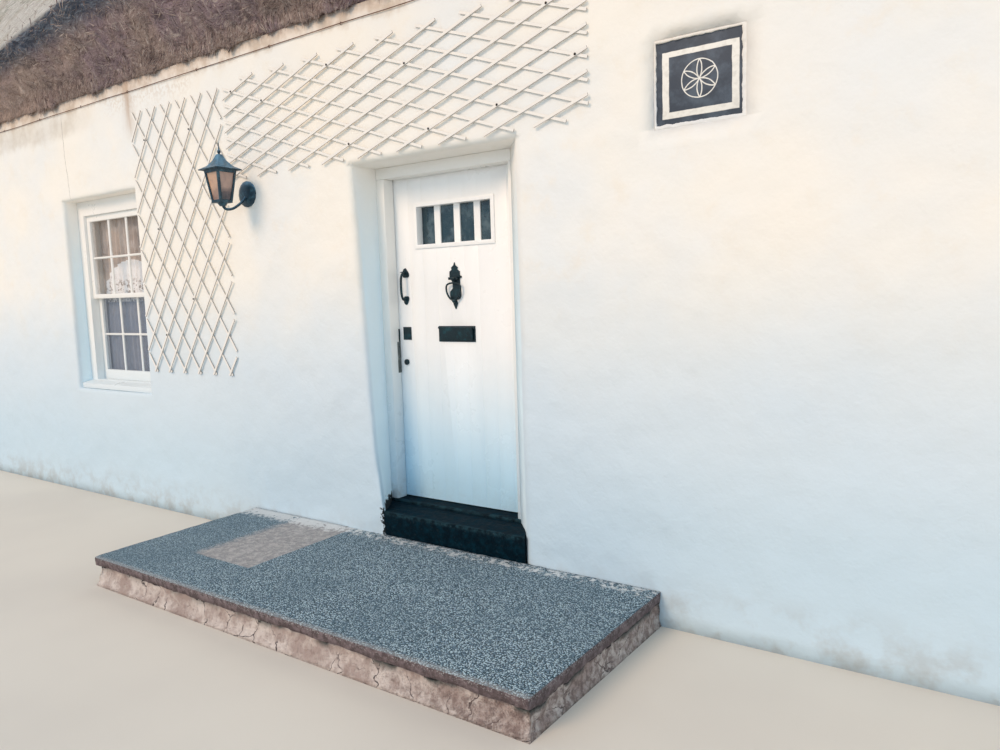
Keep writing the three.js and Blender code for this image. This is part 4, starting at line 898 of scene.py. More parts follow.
@dataclass(frozen=True)
class Lace:
    """Cotton net on the sheet's own UV map, with a white arched lace panel between beige drapes."""

    name: str = "net_lace"
    mesh_scale: float = 260.0
    window: float = 3.094
    arch: tuple[float, float, float, float] = (0.41, 0.30, 1.53, 1.51)

    def build(self) -> Material:
        """Mix the material.

        Returns:
            The material.
        """
        s = ShaderBench(self.name)
        sheet = s.node("UVMap", uv_map="cloth")
        net = s.ramp(s.cells(self.mesh_scale, "DISTANCE_TO_EDGE", sheet), 0.04, 0.14, 1, 0)
        x, _, z = s.axes()
        across = (abs(x) - self.window) / self.arch[0]
        above = (z - self.arch[2]) / self.arch[1]
        round_top = s.math("SQRT", across * across + above * above)
        panel = s.ramp(round_top, 0.985, 1.0, 1, 0) * s.ramp(z, self.arch[3] - 0.004, self.arch[3])
        leaves = s.ramp(s.noise(34, 3, 0.6, sheet), 0.5, 0.6, 0, 1) * s.ramp(z, 1.62, 1.74, 0.62, 0.0)
        v = s.axes(sheet)[1]
        hem = s.ramp(v, 0.03, 0.036, 1, 0)
        solid = s.math("MAXIMUM", panel * (1.0 - leaves), hem)
        cover = s.math("MAXIMUM", net * 0.5, solid)
        drape = s.mix(s.ramp(s.noise(5, 3), 0.4, 0.65), "e3d2c5", "c8b9b0")
        drape = s.mix(s.ramp(z, 1.5, 1.56, 1, 0), drape, "aeb3bf")
        colour = s.mix(solid, drape, "ffffff")
        colour = s.mix(panel * leaves, colour, "8a857f")
        threads = s.node("TexWave", {"Vector": sheet, "Scale": 420.0}, 1, bands_direction="Y")
        colour = s.mix(threads * 0.1, colour, "a49c96")
        alpha = cover * 0.26 + 0.74
        return s.finish(base_color=colour, roughness=1.0, alpha=alpha, sheen_weight=0.3,
                        normal=s.bump(cover, 0.0006, 0.8))


@dataclass(frozen=True)
class PotClay:
    """Fired clay painted white, chipped at the rims and sooty at the mouth."""

    name: str = "pot_clay"

    def build(self) -> Material:
        """Mix the material.

        Returns:
            The material.
        """
        s = ShaderBench(self.name)
        z = s.axes()[2]
        wear = s.noise(16, 6, 0.7)
        colour = s.mix(s.ramp(wear, 0.58, 0.7, 0, 0.8), "e9e4d8", "b39b80")
        soot = s.ramp(z, 7.86, 8.05) * s.ramp(s.noise(9, 4), 0.3, 0.7)
        colour = s.mix(soot * 0.8, colour, "3a3632")
        return s.finish(base_color=colour, roughness=0.85, normal=s.bump(wear, 0.004, 0.8))


@dataclass(frozen=True)
class PlaquePaint:
    """Black painted slab with a white line border and a compass-drawn daisy wheel."""

    name: str
    middle: tuple[float, float]
    half: tuple[float, float]
    outer: tuple[float, float, float, float] = (0.89, 0.91, 0.86, 0.76)
    inner: tuple[float, float, float, float] = (0.74, 0.76, 0.72, 0.64)
    wheel: float = 0.074
    stroke: float = 0.0034

    def build(self) -> Material:
        """Mix the material.

        Returns:
            The material.
        """
        s = ShaderBench(self.name)
        x, _, z = s.axes()
        shaky = (s.noise(16, 4) - 0.5) * 0.006
        u = x - self.middle[0] + shaky
        v = z - self.middle[1] + shaky
        within = s.ramp(self.reach(s, u, v, self.outer), 1.0, 1.02, 1, 0)
        paint = within * s.ramp(self.reach(s, u, v, self.inner), 0.98, 1.0)
        centres = [(0.0, 0.0)] + [(self.wheel * math.cos(math.radians(60 * i + 30)),
                                   self.wheel * math.sin(math.radians(60 * i + 30))) for i in range(6)]
        rim = s.math("SQRT", u * u + v * v)
        inside = s.ramp(rim, self.wheel + 0.001, self.wheel + 0.003, 1, 0)
        for cx, cy in centres:
            du = u - cx
            dv = v - cy
            away = s.math("SQRT", du * du + dv * dv)
            ring = s.ramp(abs(away - self.wheel), self.stroke * 0.5, self.stroke * 0.5 + 0.0012, 1, 0)
            paint = s.math("MAXIMUM", paint, ring * inside)
        black = s.mix(s.ramp(s.noise(12, 5, 0.65), 0.4, 0.7), "3a434f", "535f6c")
        white = s.mix(s.ramp(s.noise(40, 4), 0.45, 0.7, 0, 0.4), "f2efe6", "c9c6bd")
        colour = s.mix(paint, black, white)
        raised = s.bump(paint, 0.0008, 0.8, s.bump(s.noise(45, 5, 0.6), 0.002, 0.7))
        return s.finish(base_color=colour, roughness=0.62, normal=raised)

    def reach(self, s: ShaderBench, u: object, v: object, sides: tuple[float, ...]) -> Pattern:
        """Return 1 on a rectangle's edge, less inside it and more outside.

        Args:
            s: the bench of the material.
            u: the distance to the right of the middle.
            v: the distance above the middle.
            sides: the left, right, bottom and top edges as shares of the slab's half sizes.

        Returns:
            The largest of the four shares.
        """
        result: object = 0.0
        for value, share, half in ((u, -sides[0], self.half[0]), (u, sides[1], self.half[0]),
                                   (v, -sides[2], self.half[1]), (v, sides[3], self.half[1])):
            result = s.math("MAXIMUM", result, value / (share * half))
        return result


@dataclass(frozen=True)
class StudioFloor:
    """The pale floor that the cottage stands on."""

    name: str = "studio_floor"

    def build(self) -> Material:
        """Mix the material.

        Returns:
            The material.
        """
        s = ShaderBench(self.name)
        colour = s.mix(s.ramp(s.noise(0.7, 3), 0.3, 0.7), "e0d9cd", "d8d1c6")
        return s.finish(base_color=colour, roughness=0.95)


class Finishes:
    """All the finishes, built once."""

    def __init__(self) -> None:
        """Build every finish."""
        low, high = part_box("plaque")
        middle, half = (low + high) / 2, (high - low) / 2
        self.limewash = Limewash().build()
        self.thatch = Straw("thatch", "fffbf2", "cdc5ba", by_cut=True).build()
        self.ridge = Straw("straw_ridge", "cdb68c", "8d7750").build()
        self.strands = LooseStraw("loose_straw").build()
        self.rods = LooseStraw("ridge_rods", "a98c5e", "6a5232").build()
        self.floor = Flags().build()
        self.landing = CastGround().build()
        self.step = StepPaint().build()
        # Each gloss paint's low colour is cool shade painted towards the foot
        self.paint = GlossPaint("white_paint").build()
        self.door_paint = GlossPaint("door_gloss", "fefdfa", "e8e8e4", "b4e6ff", 0.30, 1.35, 0.08).build()
        # The trellis paint's sides colour is painted shade on the slats' edges
        self.trellis_paint = GlossPaint("trellis_paint", "f3eee5", "c4bbae", "e6e7e3", 0.7,
                                        sides="aaa19b").build()
        self.iron = Ironwork("black_iron").build()
        # The lantern's lighter colour on faces that look up is a painted sky sheen
        self.lantern = Ironwork("lantern_green_black", "193847", "48707f", 0.15, 0.40, "6390ac").build()
        self.wire = Ironwork("wire_brown", "5d3c2f", "866050", 0.1, 0.7).build()
        self.timber = RoughTimber().build()
        self.glass = PaneGlass("clear_glass", "a2968f", "e0d4cb", (0.05, 0.14), lower="8f9aab").build()
        # Painted shade: the door light's glass is a nearly opaque dark teal sheet in place of the dark room
        # behind it
        self.door_glass = PaneGlass("door_light_glass", "1f3a45", "5b6c72", (0.86, 0.95), 0.10, 0.012).build()
        self.amber = AmberPane(*(corner.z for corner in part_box("lantern_panes"))).build()
        self.lace = Lace().build()
        self.pot = PotClay().build()
        self.plaque = PlaquePaint("plaque_slate", (middle.x, middle.z), (half.x, half.z)).build()
        self.keep = Ironwork("worn_zinc", "59605f", "9da3a2", 0.5, 0.5).build()
        self.nail = Ironwork("nail_rust", "2b2422", "5a4136", 0.2, 0.7).build()


# Mesh tools


class Shop:
    """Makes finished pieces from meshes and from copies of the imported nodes."""

    # Record slots of the finishes that don't have their slot's name
    slots = {"loose_straw": "thatch", "ridge_rods": "straw_ridge", "door_gloss": "white_paint",
             "trellis_paint": "white_paint", "lantern_green_black": "black_iron", "wire_brown": "black_iron",
             "worn_zinc": "black_iron", "nail_rust": "black_iron"}

    def __init__(self) -> None:
        """Start with nothing made."""
        self.made: list[bpy.types.Object] = []

    def place(self, name: str, mesh: Mesh, finish: Material, replaces: Sequence[str] = (),
              body: Body = Body.HOUSE) -> bpy.types.Object:
        """Put a finished mesh into the scene.

        Args:
            name: the piece's name.
            mesh: its mesh, already in its place.
            finish: its material.
            replaces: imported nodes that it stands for.
            body: the body that it rides on.

        Returns:
            The piece's object.
        """
        mesh.name = name
        if not mesh.materials:
            mesh.materials.append(finish)
        else:
            mesh.materials[0] = finish
        piece = bpy.data.objects.new(name, mesh)
        bpy.context.scene.collection.objects.link(piece)
        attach(piece, body.value)
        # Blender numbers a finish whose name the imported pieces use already
        if replaces:
            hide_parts(*replaces)
        self.made.append(piece)
        LOG.info("%s: %d faces on %s", name, len(mesh.polygons), body.value)
        return piece

    @staticmethod
    def dress(node: str, finish: Material) -> None:
        """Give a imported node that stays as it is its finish."""
        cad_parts[node].material_slots[0].material = finish

    @staticmethod
    def mesh_from(name: str, points: Sequence, faces: Sequence = (), edges: Sequence = ()) -> Mesh:
        """Return a mesh from points and faces, or from points and edges."""
        mesh = bpy.data.meshes.new(name)
        mesh.from_pydata([tuple(p) for p in points], list(edges), [tuple(f) for f in faces])
        mesh.update()
        return mesh

    @staticmethod
    def lines(name: str, lines: Sequence[Sequence[Point]]) -> Mesh:
        """Return a mesh of unconnected lines through points."""
        edges, start = [], 0
        for line in lines:
            edges += [(start + i, start + i + 1) for i in range(len(line) - 1)]
            start += len(line)
        return Shop.mesh_from(name, [p for line in lines for p in line], edges=edges)

    @staticmethod
    def outward(mesh: Mesh, merge: float = 0.0) -> Mesh:
        """Turn a mesh's faces outwards.

        Args:
            mesh: the mesh, changed in place.
            merge: points closer than this are made one first.

        Returns:
            The same mesh.
        """
        work = bmesh.new()
        work.from_mesh(mesh)
        if merge:
            bmesh.ops.remove_doubles(work, verts=work.verts, dist=merge)
        bmesh.ops.recalc_face_normals(work, faces=work.faces)
        work.to_mesh(mesh)
        work.free()
        return mesh

    @staticmethod
    def merged_copy(*nodes: str) -> Mesh:
        """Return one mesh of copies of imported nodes, with their loose triangles merged into flat faces.

        Args:
            nodes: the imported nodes.

        Returns:
            The merged mesh.
        """
        work = bmesh.new()
        for node in nodes:
            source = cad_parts[node]
            source_mesh = source.data.copy()
            source_mesh.transform(source.matrix_world)
            work.from_mesh(source_mesh)
            bpy.data.meshes.remove(source_mesh)
        bmesh.ops.remove_doubles(work, verts=work.verts, dist=1e-5)
        bmesh.ops.dissolve_limit(work, angle_limit=math.radians(0.5), verts=work.verts, edges=work.edges)
        mesh = bpy.data.meshes.new(nodes[0])
        work.to_mesh(mesh)
        work.free()
        return mesh

    @staticmethod
    def evaluated(mesh: Mesh, modify: Callable[[bpy.types.Object], None]) -> Mesh:
        """Return a mesh after modifiers.

        Args:
            mesh: the mesh to start from.
            modify: adds the modifiers to a passing object.

        Returns:
            The resulting plain mesh.
        """
        passing = bpy.data.objects.new("passing", mesh)
        bpy.context.scene.collection.objects.link(passing)
        modify(passing)
        graph = bpy.context.evaluated_depsgraph_get()
        graph.update()
        result = bpy.data.meshes.new_from_object(passing.evaluated_get(graph))
        bpy.data.objects.remove(passing)
        return result

    @staticmethod
    def bevel(passing: bpy.types.Object, width: float, segments: int, limit: float) -> None:
        """Ease the arrises of an object.

        Args:
            passing: the object.
            width: how far its arrises are eased.
            segments: steps of each eased arris.
            limit: only arrises sharper than this are eased, in degrees.
        """
        bevel = passing.modifiers.new("ease", "BEVEL")
        bevel.width, bevel.segments = width, segments
        bevel.limit_method, bevel.angle_limit = "ANGLE", math.radians(limit)

    def softened(self, *nodes: str, width: float = 0.002, segments: int = 2) -> Mesh:
        """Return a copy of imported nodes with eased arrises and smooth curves.

        Args:
            nodes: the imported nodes.
            width: how far the arrises are eased.
            segments: steps of each eased arris.

        Returns:
            The eased mesh.
        """
        mesh = self.evaluated(self.merged_copy(*nodes),
                              lambda passing: self.bevel(passing, width, segments, 32))
        self.smooth_by_angle(mesh, 35)
        return mesh

    @staticmethod
    def smooth_by_angle(mesh: Mesh, degrees: float) -> None:
        """Shade a mesh smooth, and keep its sharper arrises sharp.

        Args:
            mesh: the mesh, changed in place.
            degrees: the angle past which an arris stays sharp.
        """
        work = bmesh.new()
        work.from_mesh(mesh)
        for face in work.faces:
            face.smooth = True
        for edge in work.edges:
            edge.smooth = len(edge.link_faces) == 2 and edge.calc_face_angle(0.0) < math.radians(degrees)
        work.to_mesh(mesh)
        work.free()

    def ease(self, *nodes: str, finish: Material, body: Body = Body.HOUSE, **sizes: float) -> None:
        """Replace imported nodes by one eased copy."""
        self.place("eased_" + nodes[0], self.softened(*nodes, **sizes), finish, nodes, body)


def noisy_skin(name: str, mesh: Mesh, finish: Material, height: float, scale: float, inward: float = 0.5,
               detail: float = 3.0) -> Mesh:
    """Push a mesh's skin in and out by a noise, weighted by its attribute "loose".

    Args:
        name: the tree's name.
        mesh: the base mesh.
        finish: the material of the result.
        height: how far the noise moves the skin in all.
        scale: lumps for each metre.
        inward: the share of the movement that goes inwards.
        detail: octaves of the noise.

    Returns:
        The uneven mesh.
    """
    bench = GeoBench(name)
    reach = bench.size("Lump Height", height)
    lumps = bench.size("Lumps A Metre", scale)
    sunk = bench.size("Share Inwards", inward)
    spot = bench.node("InputPosition")
    pattern = bench.node("ShaderNodeTexNoise", {"Vector": spot, "Scale": lumps, "Detail": detail})
    centred = (pattern - 0.5) * 1.8 + 0.5 - sunk
    offset = bench.scaled(bench.node("InputNormal"), centred * reach * bench.attribute("loose"))
    moved = bench.node("SetPosition", {"Geometry": bench.base, "Offset": offset})
    smooth = bench.node("SetShadeSmooth", {"Geometry": moved, "Shade Smooth": True})
    return bench.run(mesh, smooth, finish)


def set_attribute(mesh: Mesh, name: str, values: Sequence[float] | np.ndarray) -> None:
    """Store a float for each point of a mesh."""
    layer = mesh.attributes.new(name, "FLOAT", "POINT")
    layer.data.foreach_set("value", np.asarray(values, dtype=np.float32))


def points_of(mesh: Mesh) -> np.ndarray:
    """Return the places of a mesh's points, one in each row."""
    places = np.empty(len(mesh.vertices) * 3)
    mesh.vertices.foreach_get("co", places)
    return places.reshape(-1, 3)


def spaced(*stops: float, step: float) -> np.ndarray:
    """Return values through the stops, no further apart than the step."""
    parts = [np.array([stops[0]])]
    for low, high in zip(stops[:-1], stops[1:]):
        count = max(1, math.ceil((high - low) / step - 1e-6))
        parts.append(np.linspace(low, high, count + 1)[1:])
    return np.concatenate(parts)


def near(edges: Sequence[float], offsets: Sequence[float]) -> list[float]:
    """Return each edge with further values on both sides of it."""
    return sorted({round(edge + sign * offset, 6) for edge in edges for offset in (0, *offsets)
                   for sign in (-1, 1)})


def bands(rows: int, count: int, closed: bool = True, loop: bool = False,
          turned: bool = False) -> list[tuple]:
    """Return the quads between rows of points that follow one another.

    Args:
        rows: how many rows.
        count: points in each row.
        closed: True joins the last point of a row to its first.
        loop: True joins the last row to the first.
        turned: True turns the quads over.

    Returns:
        The quads.
    """
    quads = []
    for row in range(rows if loop else rows - 1):
        here, beyond = row * count, (row + 1) % rows * count
        for i in range(count if closed else count - 1):
            j = (i + 1) % count
            quad = (here + i, here + j, beyond + j, beyond + i)
            quads.append((quad[0], *quad[:0:-1]) if turned else quad)
    return quads


class CellSolid:
    """The closed skin of a body that is made of box cells between cuts on three axes."""

    def __init__(self, xs: np.ndarray, ys: np.ndarray, zs: np.ndarray) -> None:
        """Start with every cell filled."""
        self.cuts = (xs, ys, zs)
        self.filled = np.ones(tuple(len(c) - 1 for c in self.cuts), dtype=bool)
        self.middle = np.meshgrid(*[(c[1:] + c[:-1]) / 2 for c in self.cuts], indexing="ij")

    def hollow(self, low: Point, high: Point) -> None:
        """Empty the cells inside a box."""
        inside = np.ones_like(self.filled)
        for axis in range(3):
            inside &= (self.middle[axis] > low[axis]) & (self.middle[axis] < high[axis])
        self.filled &= ~inside

    def skin(self) -> tuple[np.ndarray, np.ndarray]:
        """Find the faces between filled and empty cells.

        Returns:
            The points, and the outward quads.
        """
        counts = [len(c) for c in self.cuts]
        padded = np.pad(self.filled, 1)
        quads = []
        for axis in range(3):
            before = np.moveaxis(padded, axis, 0)[:-1, 1:-1, 1:-1]
            after = np.moveaxis(padded, axis, 0)[1:, 1:-1, 1:-1]
            others = [a for a in range(3) if a != axis]
            for change, flip in ((before & ~after, False), (~before & after, True)):
                corner = np.zeros((int(change.sum()), 3), dtype=np.int64)
                corner[:, [axis, *others]] = np.argwhere(change)
                ring = [(0, 0), (1, 0), (1, 1), (0, 1)]
                if flip != (axis == 1):
                    ring = ring[::-1]
                face = []
                for steps in ring:
                    point = corner.copy()
                    point[:, others] += steps
                    face.append((point[:, 0] * counts[1] + point[:, 1]) * counts[2] + point[:, 2])
                quads.append(np.stack(face, axis=1))
        faces = np.concatenate(quads)
        used, renumbered = np.unique(faces, return_inverse=True)
        i, j, k = used // (counts[1] * counts[2]), used // counts[2] % counts[1], used % counts[2]
        points = np.stack([self.cuts[0][i], self.cuts[1][j], self.cuts[2][k]], axis=1)
        return points, renumbered.reshape(faces.shape)


def round_over(points: np.ndarray, first: tuple[int, float, int], second: tuple[int, float, int],
               radius: float | np.ndarray, within: np.ndarray | bool = True) -> None:
    """Round the arris where two planes meet.

    Args:
        points: the points, changed in place.
        first: an axis, the plane's value on it, and the direction into the solid, +1 or -1.
        second: the same of the other plane.
        radius: the rounding, one for all points or one for each.
        within: which points may move.
    """
    size = np.broadcast_to(radius, (len(points),))
    a = (points[:, first[0]] - first[1]) * first[2]
    b = (points[:, second[0]] - second[1]) * second[2]
    hit = within & (a > -1e-5) & (b > -1e-5) & (a < size) & (b < size)
    da, db, r = size[hit] - a[hit], size[hit] - b[hit], size[hit]
    factor = r / np.maximum(np.hypot(da, db), 1e-9)
    points[hit, first[0]] = first[1] + first[2] * (r - da * factor)
    points[hit, second[0]] = second[1] + second[2] * (r - db * factor)


def slab(name: str, ring: Sequence[tuple[float, float]], start: float, thick: float, axis: int = 1) -> Mesh:
    """Return a flat piece with an eased front edge.

    Args:
        name: the mesh's name.
        ring: its outline, as pairs on the two other axes.
        start: where its back lies on the axis.
        thick: how far it stands out from there, with its direction.
        axis: 0 for a piece on a side wall, 1 for a piece on a front face.

    Returns:
        The piece's mesh.
    """
    centre = np.mean(np.array(ring), axis=0)
    ease = min(abs(thick) * 0.35, 0.0012)
    points = []
    for pull, level in ((0.0, 0.0), (0.0, thick - math.copysign(ease, thick)), (ease, thick)):
        for pair in ring:
            away = np.array(pair) - centre
            a, b = centre + away * (1 - pull / max(float(np.hypot(*away)), 1e-6))
            points.append((start + level, a, b) if axis == 0 else (a, start + level, b))
    n = len(ring)
    faces = [*bands(3, n), tuple(range(n)), tuple(range(2 * n, 3 * n))]
    mesh = Shop.outward(Shop.mesh_from(name, points, faces))
    Shop.smooth_by_angle(mesh, 35)
    return mesh


# Sub-assemblies


@dataclass
class Walls:
    """The limewashed shell of the house: front, back and both gables in one skin, and the chimneys."""

    shop: Shop
    finishes: Finishes
    half_length: float = 5.5
    thickness: float = 0.55
    peak: float = 6.2277
    step: float = 0.085
    depth_step: float = 0.11
    # Cuts round each edge, from the front face and from the back face inwards
    close: tuple[float, ...] = (0.008, 0.02, 0.036, 0.06)
    front_cuts: tuple[float, ...] = (0.0, 0.008, 0.02, 0.03, 0.06, 0.108, 0.2, 0.233, 0.332, 0.55)
    back_cuts: tuple[float, ...] = (0.0, 0.02, 0.108, 0.233, 0.55)
    # Middle from the door's middle, half width, sill and head
    window: tuple[float, float, float, float] = (3.094, 0.497, 0.840, 2.288)
    doorway: tuple[float, float] = (0.479, 2.200)
    splay: float = 0.111
    # Depth where the frame stands, and how far the reveal opens from there inwards
    door_room_splay: tuple[float, float] = (0.332, 0.150)
    window_room_splay: tuple[float, float] = (0.233, 0.130)
    # Rounding of the doorway's left, right and top arrises, the windows' sides, heads and sills,
    # and the house's corners
    door_rounds: tuple[float, float, float] = (0.040, 0.050, 0.034)
    worn_round: float = 0.018
    window_rounds: tuple[float, float, float] = (0.030, 0.026, 0.022)
    corner_round: float = 0.06
    # Height over which the doorway's left reveal leans, and its reach at the face and at the frame
    lean: tuple[float, float, float] = (2.04, 0.115, 0.012)
    flare: tuple[float, float, float] = (0.60, 0.32, 0.045)
    foot_swell: float = 0.014
    return_edge: float = 0.042
    # The plaque's recess: left, right, foot, head and depth
    recess: tuple[float, float, float, float, float] = (1.286, 1.660, 2.136, 2.484, 0.030)
    lumps: tuple[float, float, float] = (0.013, 2.1, 0.72)
    chimney_cell: float = 0.035
    chimney_lumps: tuple[float, float] = (0.012, 6.0)

    def build(self) -> None:
        """Make the shell and the chimneys."""
        self.shell()
        for side in ("left", "right"):
            node = f"{side}_chimney_stack"
            mesh = self.remeshed(self.shop.merged_copy(node))
            set_attribute(mesh, "loose", np.ones(len(mesh.vertices)))
            skin = noisy_skin("chimney_skin", mesh, self.finishes.limewash, *self.chimney_lumps)
            self.shop.place(f"{side}_limewashed_stack", skin, self.finishes.limewash, [node])
            self.shop.ease(f"{side}_chimney_pot", finish=self.finishes.pot, width=0.006, segments=3)

    def remeshed(self, mesh: Mesh) -> Mesh:
        """Rebuild a stack's mesh from even cells.

        Args:
            mesh: the stack's mesh.

        Returns:
            The new mesh.
        """
        def modify(passing: bpy.types.Object) -> None:
            """Add the remesh."""
            remesh = passing.modifiers.new("cells", "REMESH")
            remesh.mode, remesh.voxel_size = "VOXEL", self.chimney_cell
            soft = passing.modifiers.new("soft", "SMOOTH")
            soft.factor, soft.iterations = 0.5, 3

        return Shop.evaluated(mesh, modify)

    def cells(self) -> CellSolid:
        """Cut the openings and the room out of the shell.

        Returns:
            The shell's cells, with the gables' tops still upright.
        """
        centre, half, sill, head = self.window
        door, top = self.doorway
        left, right, foot, crown, deep = self.recess
        edges = [s * centre + t * half for s in (-1, 1) for t in (-1, 1)]
        end, wall_x = self.half_length, self.half_length - self.thickness
        xs = {*near([*edges, -door, door], self.close), -end, end, -wall_x, wall_x, left, right,
              *near([-end + 0.03, end - 0.03], [0.015])}
        ys = {*self.front_cuts, *(DEPTH - cut for cut in self.back_cuts)}
        zs = {0.0, *near([sill, head, top], self.close), foot, crown, WALL_TOP, self.peak}
        solid = CellSolid(spaced(*sorted(xs), step=self.step), spaced(*sorted(ys), step=self.depth_step),
                          spaced(*sorted(zs), step=self.step))
        front, back = self.thickness, DEPTH - self.thickness
        solid.hollow((-wall_x, front, -FAR), (wall_x, back, FAR))
        solid.hollow((-wall_x, -FAR, WALL_TOP), (wall_x, FAR, FAR))
        for middle in (-centre, centre):
            solid.hollow((middle - half, -FAR, sill), (middle + half, front, head))
            solid.hollow((middle - half, back, sill), (middle + half, FAR, head))
        solid.hollow((-door, -FAR, -FAR), (door, front, top))
        solid.hollow((left, -FAR, foot), (right, deep, crown))
        return solid

    def shell(self) -> None:
        """Make the fused walls with splayed reveals, rounded arrises, sloping gables and uneven faces."""
        points, faces = self.cells().skin()
        self.round_arrises(points)
        self.splay_openings(points)
        self.lean_doorway(points)
        y, z = points[:, 1], points[:, 2]
        climb = self.peak - WALL_TOP
        slope = WALL_TOP + np.minimum(y, DEPTH - y) / (DEPTH / 2) * climb - 0.002
        above = z > WALL_TOP + 1e-6
        z[above] = WALL_TOP + (z[above] - WALL_TOP) / climb * (slope[above] - WALL_TOP)
        mesh = Shop.outward(Shop.mesh_from("shell", points + np.array([0, FRONT, 0]), faces), merge=2e-4)
        across, deep, rise = points_of(mesh).T
        deep = deep - FRONT
        away = np.minimum(np.abs(deep), np.abs(DEPTH - deep))
        sides = np.abs(np.abs(across) - self.half_length) < 0.01
        loose = np.where(sides, 1.0, np.clip(1.1 - away / 0.09, 0.0, 1.0))
        loose *= np.clip((WALL_TOP - rise) / 0.1, 0, 1) * np.clip(rise / 0.1, 0, 1)
        set_attribute(mesh, "loose", loose)
        skin = noisy_skin("limewash_skin", mesh, self.finishes.limewash, *self.lumps)
        self.shop.place("limewashed_walls", skin, self.finishes.limewash, [
            "front_wall_left", "front_wall_right", "front_wall_over_door", "back_wall", "left_gable_wall",
            "right_gable_wall"])

    def round_arrises(self, points: np.ndarray) -> None:
        """Round the arrises of the openings and the corners of the house.

        Args:
            points: the wall's corners, which are moved.
        """
        x, y, z = points.T
        centre, half, sill, head = self.window
        door, top = self.doorway
        front, low_part = y < 0.5, z <= top + 1e-6
        outside = (1, 0.0, 1)
        leaning = self.door_rounds[0] - self.worn_round * np.clip((1.0 - z) / 0.9, 0, 1)
        round_over(points, outside, (0, -door, -1), leaning, front & low_part)
        round_over(points, outside, (0, door, 1), self.door_rounds[1], front & low_part)
        round_over(points, outside, (2, top, 1), self.door_rounds[2], front & (np.abs(x) < door + 0.02))
        beside, above, below = self.window_rounds
        for side in (-1, 1):
            for face in ((1, 0.0, 1), (1, DEPTH, -1)):
                close = np.abs(y - face[1]) < 0.2
                band = close & (z >= sill - 1e-6) & (z <= head + 1e-6)
                span = close & (np.abs(x - side * centre) <= half + 1e-6)
                for edge in (-1, 1):
                    round_over(points, face, (0, side * centre + edge * half, edge), beside, band)
                round_over(points, face, (2, head, 1), above, span)
                round_over(points, face, (2, sill, -1), below, span)
            for face in ((1, 0.0, 1), (1, DEPTH, -1)):
                round_over(points, (0, side * self.half_length, -side), face, self.corner_round)

    def lean_doorway(self, points: np.ndarray) -> None:
        """Lean the doorway's left reveal, swell the foot beside it, and return the right reveal's edge.

        Args:
            points: the wall's corners, which are moved.
        """
        x, y, z = points.T
        door, top = self.doorway
        low_part = z <= top + 1e-6
        lean = np.clip((top - z) / self.lean[0], 0, 1.05)
        reach = np.interp(y, (0.0, 0.2, 0.28), (self.lean[1], self.lean[2], 0.0))
        fade = np.clip((x + 1.3) / 0.8, 0, 1) * (x <= -door + 0.09) * low_part
        spread = np.clip((self.flare[0] - z) / self.flare[1], 0, 1) * self.flare[2]
        beside = fade * (y < 0.5)
        x += (lean * reach + spread * np.clip(1 - y / 0.2, 0, 1)) * beside
        swell = np.clip((0.48 - z) / 0.12, 0, 1) * np.clip((x + 0.75) / 0.25, 0, 1) * (x < -0.2)
        y -= self.foot_swell * swell * (y < 0.05)
        returned = (x > 0.4) * (x < 0.62) * low_part * (y > 0.08) * (y < 0.2 + 1e-6)
        x -= self.return_edge * returned * np.clip((y - 0.08) / 0.12, 0, 1)

    def splay_openings(self, points: np.ndarray) -> None:
        """Open the reveals: the doorway's outer right one, and all of them inside.

        Args:
            points: the wall's corners, which are moved.
        """
        x, y, z = points.T
        centre, half, sill, head = self.window
        door, top = self.doorway
        fade = np.clip(1 - (x - door) / 0.5, 0, 1) * (x >= door - 0.06)
        over = np.clip(1 - (z - top) / 0.3, 0, 1)
        x += self.splay * fade * over * np.clip(1 - y / 0.2, 0, 1)
        openings = [(0.0, door, -FAR, top, *self.door_room_splay)]
        openings += [(middle, half, sill, head, *self.window_room_splay) for middle in (-centre, centre)]
        for middle, opening, low, high, start, reach in openings:
            for back in (False, True) if middle else (False,):
                deep = DEPTH - y if back else y
                inner = np.clip((deep - start) / (self.thickness - start), 0, 1)
                inner = inner * (deep <= self.thickness + 1e-6)
                level = (z >= low - 1e-6) & (z <= high + 1e-6)
                for edge in (-1, 1):
                    out = (x - middle) * edge - opening
                    x += edge * reach * inner * level * np.clip(1 - out / 0.5, 0, 1) * (out >= -1e-6)


